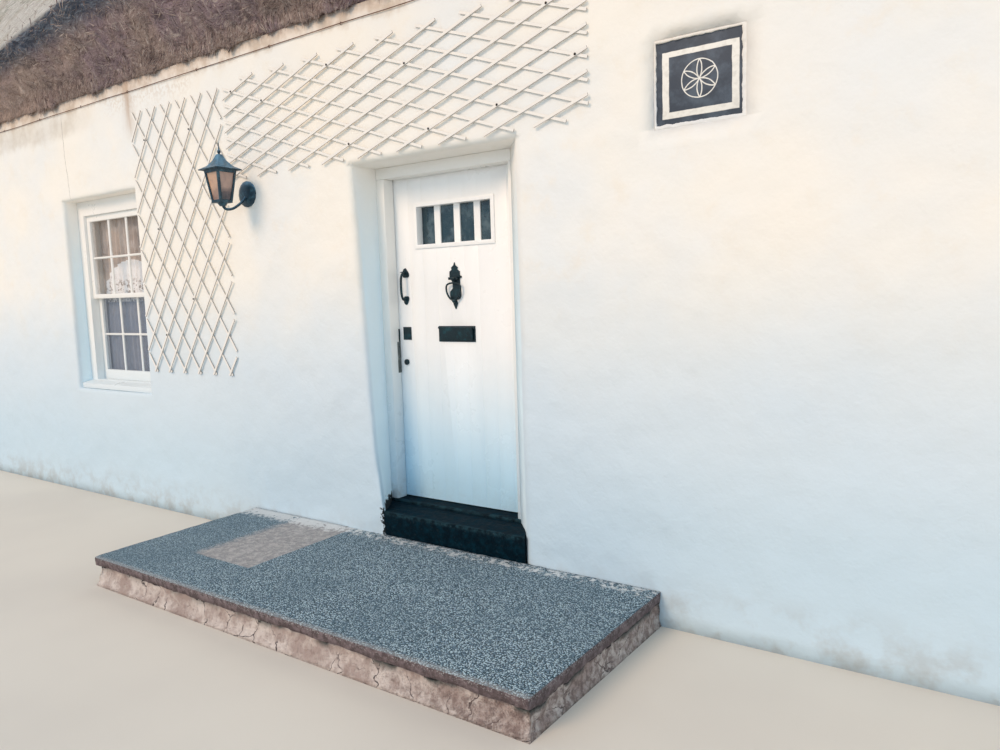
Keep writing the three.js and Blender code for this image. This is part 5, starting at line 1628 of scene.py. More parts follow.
@dataclass
class ThatchRoof:
    """The straw coat with its rounded brow and cut eaves, loose straws, and the ridge with its rods."""

    shop: Shop
    finishes: Finishes
    pitch: float = math.radians(50)
    overhang: float = 0.310
    rise: float = 0.400
    end: float = 5.7
    rounding: float = 0.130
    draw_in: float = 0.104
    brow_radius: float = 0.045
    # Points of the cut eaves, the brow, the slope and the under side in each ring
    ring_steps: tuple[int, int, int, int] = (19, 7, 42, 25)
    station: float = 0.03
    # Height of the hand-cut brow's waves, their rate and where they start in front
    wave: tuple[float, float, float] = (0.085, 1.55, -3.30)
    wave_lift: float = 0.018
    back_shift: float = 1.9
    droop: float = 0.050
    # Share of the droop and of the push outwards at the first points above the foot
    foot_shares: tuple[float, ...] = (1.0, 0.85, 0.45)
    foot_push: float = 0.010
    tufts: tuple[float, float, float, float] = (0.046, 15.0, 0.70, 4.0)
    humps: tuple[float, float, float, float] = (0.055, 2.6, 0.8, 3.0)
    verge_rows: int = 4
    straws: float = 1400.0
    foot_straws: float = 3400.0
    straw: tuple[float, float] = (0.085, 0.0031)
    cap_end: float = 4.9494
    cap_reach: float = 0.560
    cap_thickness: float = 0.055
    cap_round: float = 0.095
    cap_stations: int = 331
    scallop: tuple[float, float] = (0.055, 0.36)
    cap_lumps: tuple[float, float, float, float] = (0.016, 14.0, 0.6, 4.0)
    # Distances of the long rods from the ridge, the pitch of the cross rods and their number on each side
    rods: tuple[float, float] = (0.17, 0.41)
    rod_pitch: float = 0.32
    rod_pairs: int = 30
    rod_radius: float = 0.008

    @property
    def slope(self) -> float:
        """The roof's rise for each metre of depth."""
        return math.tan(self.pitch)

    @property
    def ridge(self) -> float:
        """The level where both slopes would meet."""
        return WALL_TOP + self.rise + (DEPTH / 2 + self.overhang) * self.slope

    def build(self) -> None:
        """Make the coat, the loose straws of each quarter of it, and the ridge."""
        coat = self.coat()
        for name, side, face in (("front_left_straws", -1.0, -1.0), ("front_right_straws", 1.0, -1.0),
                                 ("back_left_straws", -1.0, 1.0), ("back_right_straws", 1.0, 1.0)):
            self.strew(coat, name, side, face)
        self.ridge_cap()
        self.ridge_rods()

    def brow_lift(self, x: float, back: bool) -> float:
        """Return how far the hand-cut brow rises or sinks at a place along the eaves."""
        high, rate, start = self.wave
        return self.wave_lift + high * math.sin(rate * (x - (start + self.back_shift if back else start)))

    def foot_droop(self, x: float, back: bool) -> float:
        """Return how far the ragged foot hangs below the top of the wall."""
        spot = Vector((x, 9.0 if back else 0.0, 0.0))
        ragged = noise.noise(spot * 8.3) + 0.75 * noise.noise(spot * 21.0) + 0.4 * noise.noise(spot * 53.0)
        return max(0.0, self.droop * (0.55 + 1.0 * noise.noise(spot * 2.3) + 0.85 * ragged))

    def half_outer(self, inset: float, lift: float) -> list[tuple[float, float, float, float]]:
        """Return one side's outer line from foot to crown.

        Args:
            inset: how far the line is drawn in at a verge.
            lift: how far the brow rises here.

        Returns:
            The distance from mid-depth, the level, the cut and the brow share of each point.
        """
        mid, normal = DEPTH / 2, math.pi / 2 - self.pitch
        cut_steps, brow_steps, slope_steps, _ = self.ring_steps
        drop = inset / math.cos(self.pitch)
        rim = mid + self.overhang - inset / 2
        level = WALL_TOP + self.rise - inset / 3
        sag = self.brow_radius * (math.sin(normal) - (1 - math.cos(normal)) * self.slope)
        arc = []
        for i in range(brow_steps):
            angle = normal - math.pi / 2 * (1 - i / (brow_steps - 1))
            arc.append((rim + self.brow_radius * (math.cos(angle) - 1),
                        level - sag + self.brow_radius * math.sin(angle)))
        foot = (mid, WALL_TOP + GAP)
        line = []
        for t in np.linspace(0, 1, cut_steps)[:-1]:
            line.append((foot[0] + (arc[0][0] - foot[0]) * t, foot[1] + (arc[0][1] + lift - foot[1]) * t, 1.0,
                         min(1.0, max(0.0, (t - 0.68) / 0.22))))
        for i, (d, h) in enumerate(arc):
            line.append((d, h + lift, 1.0 if i < 4 else max(0.0, 1 - (i - 3) / 3), 1.0 if i < 5 else 0.5))
        shoulder = (0.260, self.ridge - 0.260 * self.slope - drop)
        for t in np.linspace(0, 1, slope_steps)[1:]:
            d = arc[-1][0] + (shoulder[0] - arc[-1][0]) * t
            level = arc[-1][1] + (shoulder[1] - arc[-1][1]) * t + lift * max(0.0, 1 - t * 2.2)
            line.append((d, level, 0.0, 0.0))
        line.append((0.110, self.ridge - 0.118 - drop, 0.0, 0.0))
        return line

    def ring(self, x: float, inset: float) -> tuple[list[tuple], int]:
        """Find the coat's outline at one station.

        Args:
            x: the station.
            inset: how far the outline is drawn in there.

        Returns:
            The depth, level, cut and brow share of each point, and how many of them lie on the outer line.
        """
        mid = DEPTH / 2
        halves = []
        for rear in (False, True):
            line = self.half_outer(inset, self.brow_lift(x, rear))
            drop = self.foot_droop(x, rear)
            for k, share in enumerate(self.foot_shares, 1):
                d, h, cut, brow = line[k]
                line[k] = (d + self.foot_push * share, h - drop * share, cut, brow)
            halves.append(line)
        crown = self.ridge - 0.088 - inset / math.cos(self.pitch)
        outer = [(mid - d, *rest) for d, *rest in halves[0]] + [(mid, crown, 0.0, 0.0)]
        outer += [(mid + d, *rest) for d, *rest in reversed(halves[1])]
        under = []
        for t in np.linspace(0, 1, self.ring_steps[3])[1:-1]:
            deep = DEPTH * (1 - t)
            under.append((deep, WALL_TOP + min(deep, DEPTH - deep) * self.slope + GAP, 0.0, 0.0))
        return outer + under, len(outer)

    def coat(self) -> Mesh:
        """Make the straw coat.

        Returns:
            Its mesh, with its cut, brow, lip and loose attributes.
        """
        turns = np.linspace(0, math.pi / 2, 6)
        ends = [(self.end - self.rounding * (1 - math.cos(a)), self.draw_in * (1 - math.sin(a)))
                for a in turns]
        stations = [(-x, inset) for x, inset in ends]
        stations += [(x, 0.0) for x in spaced(-ends[-1][0], ends[-1][0], step=self.station)[1:-1]]
        stations += [(x, inset) for x, inset in reversed(ends)]
        rings, cuts, brows, lips = [], [], [], []
        for x, inset in stations:
            ring, outer = self.ring(x, inset)
            rings.append([(x, d + FRONT, h) for d, h, _, _ in ring])
            cuts += [cut for _, _, cut, _ in ring]
            brows += [brow for _, _, _, brow in ring]
            lips += [float(0 < min(i, abs(outer - 1 - i)) < 5) for i in range(len(ring))]
        n = len(rings[0])
        points = [p for ring in rings for p in ring]
        faces = bands(len(rings), n)
        for r, flip in ((0, True), (len(rings) - 1, False)):
            cap, cap_points = self.verge(rings[r], n - self.ring_steps[3] + 2, len(points), r * n)
            points += cap_points
            cuts += [0.9] * len(cap_points)
            brows += [0.2] * len(cap_points)
            lips += [0.0] * len(cap_points)
            faces += [tuple(reversed(f)) if flip else f for f in cap]
        mesh = Shop.mesh_from("coat", points, faces)
        for name, values in (("cut", cuts), ("brow", brows), ("lip", lips)):
            set_attribute(mesh, name, values)
        _, deep, level = points_of(Shop.outward(mesh)).T
        under_line = WALL_TOP + (DEPTH / 2 - np.abs(deep - FRONT - DEPTH / 2)) * self.slope
        loose = np.clip((level - under_line) / 0.12, 0, 1) * (0.35 + 0.65 * np.array(cuts))
        set_attribute(mesh, "loose", np.maximum(loose, 0.32 * np.array(lips)))
        fine = noisy_skin("thatch_tufts", mesh, self.finishes.thatch, *self.tufts)
        rough = noisy_skin("thatch_humps", fine, self.finishes.thatch, *self.humps)
        self.shop.place("straw_coat", rough, self.finishes.thatch, ["thatch_coat"])
        return rough

    def verge(self, ring: list[Point], outer_count: int, start: int, base: int) -> tuple[list, list[Point]]:
        """Close a verge with a grid from its outer line to its under side.

        Args:
            ring: the end ring's points.
            outer_count: how many of them lie on the outer line.
            start: the number that the first new point gets.
            base: the number of the ring's first point.

        Returns:
            The faces, and the new points.
        """
        rows, new_points, faces = self.verge_rows, [], []
        numbers = [0, *range(len(ring) - 1, outer_count - 2, -1)]
        inner = [ring[k] for k in numbers]
        lengths = np.linspace(0, len(inner) - 1, outer_count)
        grid = [[base + i for i in range(outer_count)]]
        for row in range(1, rows):
            ids = []
            for i in range(outer_count):
                if i in (0, outer_count - 1):
                    ids.append(base + i)
                    continue
                k = min(int(lengths[i]), len(inner) - 2)
                on_inner = Vector(inner[k]).lerp(Vector(inner[k + 1]), lengths[i] - k)
                new_points.append(tuple(Vector(ring[i]).lerp(on_inner, row / rows)))
                ids.append(start + len(new_points) - 1)
            grid.append(ids)
        for upper, lower in zip(grid[:-1], grid[1:]):
            for i in range(outer_count - 1):
                face = list(dict.fromkeys((upper[i], upper[i + 1], lower[i + 1], lower[i])))
                if len(face) > 2:
                    faces.append(tuple(face))
        last, under = grid[-1], [base + k for k in numbers]
        i = k = 0
        while i < len(last) - 1 or k < len(under) - 1:
            ahead_i, ahead_k = (i + 1) / (len(last) - 1), (k + 1) / (len(under) - 1)
            if k == len(under) - 1 or (i < len(last) - 1 and ahead_i <= ahead_k):
                face = (last[i], last[i + 1], under[k])
                i += 1
            else:
                face = (last[i], under[k + 1], under[k])
                k += 1
            if len(set(face)) == 3:
                faces.append(face)
        return faces, new_points

    def strew(self, coat: Mesh, name: str, side: float, face: float) -> None:
        """Strew loose straws over one quarter's cut eaves, thinner on its slope.

        Args:
            coat: the straw coat, with its cut, loose and lip attributes.
            name: the new piece's name.
            side: -1 for the left half of the roof, 1 for the right half.
            face: -1 for the front half, 1 for the back half.
        """
        bench = GeoBench(name)
        length = bench.size("Straw Length", self.straw[0])
        girth = bench.size("Straw Radius", self.straw[1])
        density = bench.size("Straws A Square Metre", self.straws)
        droop = bench.size("Droop", 0.35)
        spread = bench.size("Spread", 0.55)
        tuft = bench.size("Tufts A Metre", 7.0)
        comb = bench.size("Comb", 3.2)
        foot = bench.size("Straws At The Foot", self.foot_straws)
        lip = bench.attribute("lip")
        density = density * (bench.math("POWER", bench.attribute("cut"), 2.0) + 0.035)
        density = density * bench.math("GREATER_THAN", bench.attribute("loose"), 0.01) + lip * foot
        scatter = bench.node("DistributePointsOnFaces", {"Mesh": bench.base, "Density": density, "Seed": 7},
                             distribute_method="RANDOM")
        spot = bench.node("InputPosition")
        across = bench.node("ShaderNodeSeparateXYZ", {0: spot})
        along = across * bench.size("Side", side)
        deep = (across.also(1) - (FRONT + DEPTH / 2)) * bench.size("Face", face)
        inside = bench.math("GREATER_THAN", along, 0.0) * bench.math("GREATER_THAN", deep, 0.0)
        quarter = bench.node("SeparateGeometry", {"Geometry": scatter, "Selection": inside}, domain="POINT")
        drift = bench.node("ShaderNodeTexNoise", {"Vector": spot, "Scale": tuft, "Detail": 1.0}, 1)
        combed = bench.scaled(bench.vector("SUBTRACT", drift, (0.5, 0.5, 0.5)), comb)
        away = bench.random((-1, -1, -1), (1, 1, 1), 3)
        lean = bench.vector("ADD", bench.scaled(scatter.also("Normal"), 0.45),
                            bench.vector("ADD", combed, bench.scaled(away, spread)))
        aim = bench.vector("ADD", lean, bench.arrow(2, (droop + lip * 1.5) * -1.0))
        turned = bench.node("FunctionNodeAlignRotationToVector", {"Vector": aim}, axis="Z")
        stalk = bench.node("MeshCone", {"Vertices": 3, "Radius Top": 0.0, "Radius Bottom": girth,
                                        "Depth": length}, fill_type="NGON")
        lifted = bench.node("Transform", {"Geometry": stalk, "Translation": bench.arrow(2, length * -0.55)})
        placed = bench.node("InstanceOnPoints", {"Points": quarter, "Instance": lifted, "Rotation": turned,
                                                 "Scale": bench.random(0.55, 1.35, 11)})
        toned = bench.node("StoreNamedAttribute", {
            "Geometry": placed, "Name": "tone", "Value": bench.random(0.0, 1.0, 5)}, data_type="FLOAT",
            domain="INSTANCE")
        self.shop.place(name, bench.run(coat.copy(), toned, self.finishes.strands), self.finishes.strands)

    def on_cap(self, x: float, y: float, clear: float = 0.0) -> Point:
        """Return a point of the ridge cap's top, at a distance from the ridge and clear of the straw."""
        lift = self.cap_thickness / math.cos(self.pitch)
        level = self.ridge + lift - math.hypot(y, self.cap_round) * self.slope + clear
        return (x, DEPTH / 2 + y + FRONT, level)

    def ridge_cap(self) -> None:
        """Make the block-cut ridge with its scalloped skirts."""
        shares = [*np.linspace(1, 0.3, 12), 0.22, 0.13, 0.06, 0]
        shares = shares + [-s for s in reversed(shares[:-1])]
        depth, pitch = self.scallop
        rings = []
        for x in np.linspace(-self.cap_end, self.cap_end, self.cap_stations):
            reach = self.cap_reach - depth * (1 - abs(math.sin(math.pi * x / pitch)))
            ring = [self.on_cap(x, -share * reach) for share in shares]
            for share in reversed(shares):
                y = -share * reach
                ring.append((x, DEPTH / 2 + y + FRONT, self.ridge - max(abs(y), 0.10) * self.slope - 0.012))
            rings.append(ring)
        n = len(rings[0])
        faces = bands(len(rings), n, turned=True)
        for r, flip in ((0, False), (len(rings) - 1, True)):
            for i in range(n // 2 - 1):
                quad = (r * n + i, r * n + i + 1, r * n + n - 2 - i, r * n + n - 1 - i)
                faces.append(tuple(reversed(quad)) if flip else quad)
        mesh = Shop.outward(Shop.mesh_from("ridge", [p for ring in rings for p in ring], faces))
        set_attribute(mesh, "loose", np.ones(len(mesh.vertices)))
        skin = noisy_skin("ridge_skin", mesh, self.finishes.ridge, *self.cap_lumps)
        self.shop.place("straw_ridge", skin, self.finishes.ridge, ["ridge_cap"])

    def ridge_rods(self) -> None:
        """Lay split rods along the ridge and crosswise between them."""
        lines: list[list[Point]] = []
        end, near_rod, far_rod = self.cap_end, *self.rods
        for side in (-1, 1):
            for y in self.rods:
                along = np.linspace(-end + 0.05, end - 0.05, 60)
                lines.append([self.on_cap(x, side * y, 0.006) for x in along])
            for k in range(self.rod_pairs):
                x0 = -end + 0.1 + k * self.rod_pitch
                for low, high in ((near_rod, far_rod), (far_rod, near_rod)):
                    lines.append([self.on_cap(x0 + self.rod_pitch * t, side * (low + (high - low) * t), 0.006)
                                  for t in (0, 0.5, 1)])
        bench = GeoBench("ridge_rods")
        girth = bench.size("Rod Radius", self.rod_radius)
        rods = bench.sweep(bench.node("MeshToCurve", {0: bench.base}), 6, girth)
        result = bench.run(Shop.lines("rod_lines", lines), rods, self.finishes.rods)
        self.shop.place("ridge_rods", result, self.finishes.rods)


@dataclass
class Entrance:
    """The landing, the painted step and sill, and the flags inside."""

    shop: Shop
    finishes: Finishes
    left: float = -1.472
    right_front: float = 1.271
    right_back: float = 1.296
    front: float = -1.050
    top: float = 0.160
    edge_round: float = 0.012
    step: float = 0.022
    levels: tuple[float, ...] = (0.0, 0.03, 0.084, 0.099, 0.110, 0.148, 0.160)
    # How far the sides lie back at each level, and how far they are broken
    profile: tuple = ((0.0, 0.03, 0.084, 0.099, 0.110, 0.160), (0.0, 0.004, 0.018, 0.022, 0.003, 0.0))
    broken: tuple = ((0.0, 0.03, 0.095, 0.112, 0.160), (0.0, 0.9, 1.0, 0.30, 0.16))
    worn_top: float = 0.12
    breaks: tuple[float, float, float, float] = (0.032, 10.0, 0.95, 5.0)

    def build(self) -> None:
        """Make the landing and ease the step."""
        points, faces = CellSolid(spaced(self.left, self.right_front, step=self.step),
                                  spaced(self.front, -GAP, step=self.step),
                                  spaced(*self.levels, step=self.step)).skin()
        x, y, z = points.T
        skew = (y - self.front) / -self.front * (self.right_back - self.right_front)
        x += skew * (x - self.left) / (self.right_front - self.left)
        round_over(points, (1, self.front, 1), (2, self.top, -1), self.edge_round)
        inset = np.interp(z, *self.profile)
        y += inset * (y < self.front + 0.001)
        x += inset * (x < self.left + 0.001)
        side = (y < self.front + 0.03) | (x < self.left + 0.03) | (x > self.right_front - 0.02)
        mesh = Shop.mesh_from("landing", points + np.array([0, FRONT, 0]), faces)
        set_attribute(mesh, "loose", np.where(side, np.interp(z, *self.broken), self.worn_top))
        skin = noisy_skin("landing_breaks", mesh, self.finishes.landing, *self.breaks)
        self.shop.place("broken_landing", skin, self.finishes.landing, ["entrance_landing"])
        for node in ("door_step", "door_sill"):
            self.shop.ease(node, finish=self.finishes.step, width=0.008, segments=3)
        for node in ("ground_floor", "doorway_footing"):
            self.shop.dress(node, self.finishes.floor)


@dataclass
class FrontDoor:
    """The boarded door, its trim and its iron furniture."""

    shop: Shop
    finishes: Finishes
    joints: tuple[float, ...] = (-0.319, -0.223, -0.127, -0.031, 0.065, 0.161, 0.257, 0.353)
    groove: tuple[float, float] = (0.0014, 0.0006)
    leaf_ease: float = 0.0009
    face: float = FRONT + 0.282
    # The light's width, foot and head, and its bead's breadth, depth and chamfer
    light: tuple[float, float, float] = (0.506, 1.768, 1.977)
    trim: tuple[float, float] = (0.022, 0.006)
    chamfer: tuple[float, float] = (0.002, 0.001)
    jamb_sight: float = 0.0597
    # The keep plate and its striker: width, foot and head
    keep: tuple[float, float, float] = (0.024, 1.042, 1.221)
    striker: tuple[float, float, float] = (0.010, 1.221, 1.296)
    keep_thickness: float = 0.0028
    keep_back: float = 0.005
    # A screw head's radius and height, and the first one's place and their pitch as shares of the plate
    screw: tuple[float, float] = (0.0042, 0.0040)
    screw_levels: tuple[float, float] = (0.16, 0.34)
    furniture: tuple[tuple[str, float], ...] = (
        ("pull_handle", 0.0012), ("lock_plate", 0.0012), ("lock_cylinder", 0.0015), ("knocker_plate", 0.0012),
        ("letter_plate", 0.001), ("hinge_strap_lower", 0.001), ("hinge_strap_upper", 0.001))
    knocker_foot: float = 1.406
    mask_thickness: float = 0.0064
    mask: tuple[tuple[float, float], ...] = (
        (0.0, -0.002), (0.015, 0.029), (0.009, 0.042), (0.009, 0.050), (0.030, 0.054), (0.038, 0.066),
        (0.040, 0.080), (0.039, 0.100), (0.035, 0.112), (0.033, 0.150), (0.034, 0.166), (0.046, 0.170),
        (0.046, 0.178), (0.034, 0.182), (0.034, 0.205), (0.018, 0.214), (0.022, 0.226), (0.006, 0.238),
        (0.0, 0.254), (-0.006, 0.238), (-0.022, 0.226), (-0.018, 0.214), (-0.034, 0.205), (-0.035, 0.178),
        (-0.030, 0.163), (-0.017, 0.150), (-0.012, 0.140), (-0.012, 0.116), (-0.022, 0.106), (-0.034, 0.094),
        (-0.035, 0.070), (-0.028, 0.054), (-0.009, 0.050), (-0.009, 0.042), (-0.015, 0.029))
    # Half of the spade-shaped pad, as shares of its half width and height
    spade: tuple[tuple[float, float], ...] = ((0.62, 0.0), (0.95, 0.14), (1.0, 0.34), (0.74, 0.58),
                                              (0.36, 0.80), (0.0, 1.0))
    # Each pad's middle, foot, half width and height
    pads: tuple[tuple[str, float, float, float, float], ...] = (
        ("handle_pad_upper", -0.3545, 1.589, 0.0245, 0.054),
        ("handle_pad_lower", -0.3555, 1.483, 0.0195, -0.050))
    pad_thickness: float = 0.0058
    latch: tuple[tuple[float, float], ...] = ((-0.390, 1.6190), (-0.364, 1.6175), (-0.364, 1.6245),
                                              (-0.390, 1.6225))
    latch_thickness: float = 0.0120

    def build(self) -> None:
        """Make the leaf, its trim, and ease the furniture."""
        self.leaf()
        self.light_trim()
        iron = self.finishes.iron
        for node in ("door_jamb_left", "door_jamb_right", "door_head"):
            self.shop.ease(node, finish=self.finishes.paint, width=0.003)
        for node, width in self.furniture:
            self.shop.ease(node, finish=iron, body=Body.DOOR, width=width)
        self.shop.ease("knocker_striker", finish=iron, body=Body.KNOCKER, width=0.0012)
        self.shop.ease("letter_flap", finish=iron, body=Body.FLAP, width=0.001)
        for node in ("hinge_plate_lower", "hinge_plate_upper"):
            self.shop.ease(node, finish=iron, width=0.001)
        self.shop.dress("door_glass", self.finishes.door_glass)
        self.keep_plate()
        self.handle_pads()
        ring = [(u, self.knocker_foot + v) for u, v in self.mask]
        mask = slab("knocker_mask", ring, self.face - GAP, -self.mask_thickness)
        self.shop.place("knocker_mask", mask, iron, body=Body.DOOR)

    def keep_plate(self) -> None:
        """Screw the latch's keep to the inner side of the left jamb."""
        iron = self.finishes.iron
        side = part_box("door_jamb_left")[0].x + self.jamb_sight + GAP
        back = self.face - self.keep_back
        plate, striker = ([(back - wide, low), (back, low), (back, high), (back - wide, high)]
                          for wide, low, high in (self.keep, self.striker))
        wide, low, high = self.keep
        radius, proud = self.screw
        first, pitch = self.screw_levels
        pieces = [("keep_plate", plate, self.keep_thickness, self.finishes.keep)]
        for k in range(3):
            deep, level = back - wide / 2, low + (high - low) * (first + pitch * k)
            ring = [(deep + radius * math.cos(a), level + radius * math.sin(a))
                    for a in np.linspace(0, 2 * math.pi, 13)[:-1]]
            pieces.append((f"keep_screw_{k + 1}", ring, proud, iron))
        pieces.append(("keep_striker", striker, self.keep_thickness, iron))
        for name, ring, thick, finish in pieces:
            self.shop.place(name, slab(name, ring, side, thick, axis=0), finish)

    def handle_pads(self) -> None:
        """Add the spade-shaped pads and the thumb latch of the pull handle."""
        iron, face = self.finishes.iron, self.face - 2 * GAP
        for name, x, foot, wide, high in self.pads:
            ring = [(x + wide * u, foot + high * v) for u, v in self.spade]
            ring += [(x - wide * u, foot + high * v) for u, v in reversed(self.spade[:-1])]
            pad = slab(name, ring if high > 0 else ring[::-1], face, -self.pad_thickness)
            self.shop.place(name, pad, iron, body=Body.DOOR)
        latch = slab("thumb_latch", self.latch, face, -self.latch_thickness)
        self.shop.place("thumb_latch", latch, iron, body=Body.DOOR)

    def leaf(self) -> None:
        """Cut the joints between the boards into a copy of the leaf."""
        low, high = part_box("door_leaf")
        half, deep = self.groove[0] / 2, self.groove[1]
        points, faces = [], []
        for x in self.joints:
            for y, into in ((low.y, 1), (high.y, -1)):
                section = [(x - half, y - 0.002 * into), (x + half, y - 0.002 * into), (x, y + deep * into)]
                a, b, c, d, e, f = range(len(points), len(points) + 6)
                points += [(px, py, z) for z in (low.z - 0.01, high.z + 0.01) for px, py in section]
                faces += [(a, b, c), (f, e, d), (a, b, e, d), (b, c, f, e), (c, a, d, f)]
        cutter_mesh = Shop.outward(Shop.mesh_from("joint_cutter", points, faces))
        cutter = bpy.data.objects.new("joint_cutter", cutter_mesh)
        bpy.context.scene.collection.objects.link(cutter)

        def modify(passing: bpy.types.Object) -> None:
            """Cut the joints and ease the arrises."""
            cut = passing.modifiers.new("joints", "BOOLEAN")
            cut.object, cut.operation, cut.solver = cutter, "DIFFERENCE", "EXACT"
            Shop.bevel(passing, self.leaf_ease, 2, 30)

        mesh = Shop.evaluated(Shop.merged_copy("door_leaf"), modify)
        bpy.data.objects.remove(cutter)
        Shop.smooth_by_angle(mesh, 30)
        self.shop.place("boarded_leaf", mesh, self.finishes.door_paint, ["door_leaf"], Body.DOOR)

    def light_trim(self) -> None:
        """Make the flat bead round the light."""
        width, bottom, top = self.light
        broad, proud = self.trim
        slant, fall = self.chamfer
        back = self.face - GAP
        front = back - proud
        points = []
        for out, y in ((0, back), (broad, back), (broad, front), (broad - slant, front - fall),
                       (slant, front - fall), (0, front)):
            half, low, high = width / 2 + out, bottom - out, top + out
            points += [(-half, y, low), (half, y, low), (half, y, high), (-half, y, high)]
        mesh = Shop.outward(Shop.mesh_from("trim", points, bands(6, 4, loop=True)))
        Shop.smooth_by_angle(mesh, 30)
        self.shop.place("light_trim", mesh, self.finishes.door_paint, body=Body.DOOR)


class Pane(Enum):
    """Which sash of a window a set of bars belongs to."""

    UPPER = "upper"
    LOWER = "lower"


@dataclass
class Windows:
    """Sash windows, six panes over six, with their bars and net curtains."""

    shop: Shop
    finishes: Finishes
    columns: int = 3
    rows: int = 2
    bar: float = 0.017
    bar_depth: float = 0.022
    # Foot and head of each back sash's glass, and its depth from the back wall's face
    back_upper: tuple[float, float, float] = (1.572, 2.133, 0.147)
    back_lower: tuple[float, float, float] = (0.975, 1.538, 0.187)
    back_stile: float = 0.045
    fold: float = 0.0105
    fold_width: float = 0.062
    # Quads of a curtain across and down, its gaps at the sides and at the ends, and its folds' knots
    weave: tuple[int, int] = (240, 44)
    curtain_gaps: tuple[float, float] = (0.003, 0.002)
    knots: int = 24
    knot_shift: float = 0.6
    sway: float = 0.0016

    def build(self) -> None:
        """Make the frames' eased copies, the bars and the curtains."""
        for side in ("left", "right"):
            for node in ("{}_window_frame", "{}_upper_sash", "{}_lower_sash", "back_{}_window"):
                self.shop.ease(node.format(side), finish=self.finishes.paint, width=0.003)
            for pane in Pane:
                self.bars(f"{side}_{pane.value}", *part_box(f"{side}_{pane.value}_panes"))
                self.shop.dress(f"{side}_{pane.value}_panes", self.finishes.glass)
            self.shop.dress(f"back_{side}_panes", self.finishes.glass)
            low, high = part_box(f"back_{side}_panes")
            for pane, (foot, head, depth) in ((Pane.UPPER, self.back_upper), (Pane.LOWER, self.back_lower)):
                y = FRONT + DEPTH - depth
                self.bars(f"back_{side}_{pane.value}", Vector((low.x + self.back_stile, y - 0.002, foot)),
                          Vector((high.x - self.back_stile, y + 0.002, head)))
            self.curtain(side)

    def bars(self, name: str, low: Vector, high: Vector) -> None:
        """Make the glazing bars of one sash.

        Args:
            name: the start of the piece's name.
            low: the low corner of the glass.
            high: the high corner of the glass.
        """
        y, over = (low.y + high.y) / 2, 0.002
        lines = []
        for i in range(1, self.columns):
            x = low.x + (high.x - low.x) * i / self.columns
            lines.append([(x, y, low.z - over), (x, y, high.z + over)])
        for i in range(1, self.rows):
            z = low.z + (high.z - low.z) * i / self.rows
            lines.append([(low.x - over, y, z), (high.x + over, y, z)])
        bench = GeoBench("glazing_bars")
        broad = bench.size("Bar Width", self.bar)
        deep = bench.size("Bar Depth", self.bar_depth)
        ring = bench.node("CurvePrimitiveCircle", {"Resolution": 8, "Radius": 0.54})
        spun = bench.node("Transform", {"Geometry": ring, "Rotation": (0, 0, math.pi / 8)})
        flat = bench.node("ShaderNodeCombineXYZ", {0: deep, 1: broad, 2: 1.0})
        shaped = bench.node("Transform", {"Geometry": spun, "Scale": flat})
        curve = bench.node("MeshToCurve", {0: bench.base})
        upright = bench.node("SetCurveNormal", {"Curve": curve}, mode="Z_UP")
        sweep = bench.node("CurveToMesh", {"Curve": upright, "Profile Curve": shaped, "Fill Caps": True})
        result = bench.run(Shop.lines("bar_lines", lines), sweep, self.finishes.paint)
        Shop.smooth_by_angle(result, 25)
        self.shop.place(f"{name}_bars", result, self.finishes.paint)

    def curtain(self, side: str) -> None:
        """Hang a gathered net curtain behind a front window.

        Args:
            side: left or right.
        """
        node = f"{side}_net_curtain"
        low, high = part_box(node)
        across, down = self.weave
        side_gap, end_gap = self.curtain_gaps
        last = self.knots - 1
        rng = np.random.default_rng(11 if side == "left" else 23)
        phases = rng.uniform(-self.knot_shift, self.knot_shift, self.knots)
        width = high.x - low.x - 2 * side_gap
        length = high.z - low.z - 2 * end_gap
        profile = []
        for i in range(across + 1):
            t = i / across
            turn = 2 * math.pi * t * width / self.fold_width + np.interp(t * last, range(self.knots), phases)
            profile.append((low.x + side_gap + width * t, math.sin(turn)))
        run = [0.0]
        for (xa, wa), (xb, wb) in zip(profile[:-1], profile[1:]):
            run.append(run[-1] + math.hypot(xb - xa, (wb - wa) * self.fold))
        points, uvs = [], []
        for j in range(down + 1):
            t = j / down
            gather = 0.45 * math.sin(math.pi * min(1.0, t * 1.4 + 0.2)) if t < 0.6 else 0.45
            depth = self.fold * (0.55 + gather)
            for i, (x, wave) in enumerate(profile):
                sway = self.sway * math.sin(9 * t + i * 0.05)
                points.append((x, (low.y + high.y) / 2 + wave * depth + sway, high.z - end_gap - length * t))
                uvs.append((run[i], length * (1 - t)))
        faces = [quad[::-1] for quad in bands(down + 1, across + 1, closed=False)]
        mesh = Shop.mesh_from(node, points, faces)
        layer = mesh.uv_layers.new(name="cloth")
        for loop in mesh.loops:
            layer.data[loop.index].uv = uvs[loop.vertex_index]
        for polygon in mesh.polygons:
            polygon.use_smooth = True
        piece = self.shop.place(f"{side}_lace", mesh, self.finishes.lace, [node])


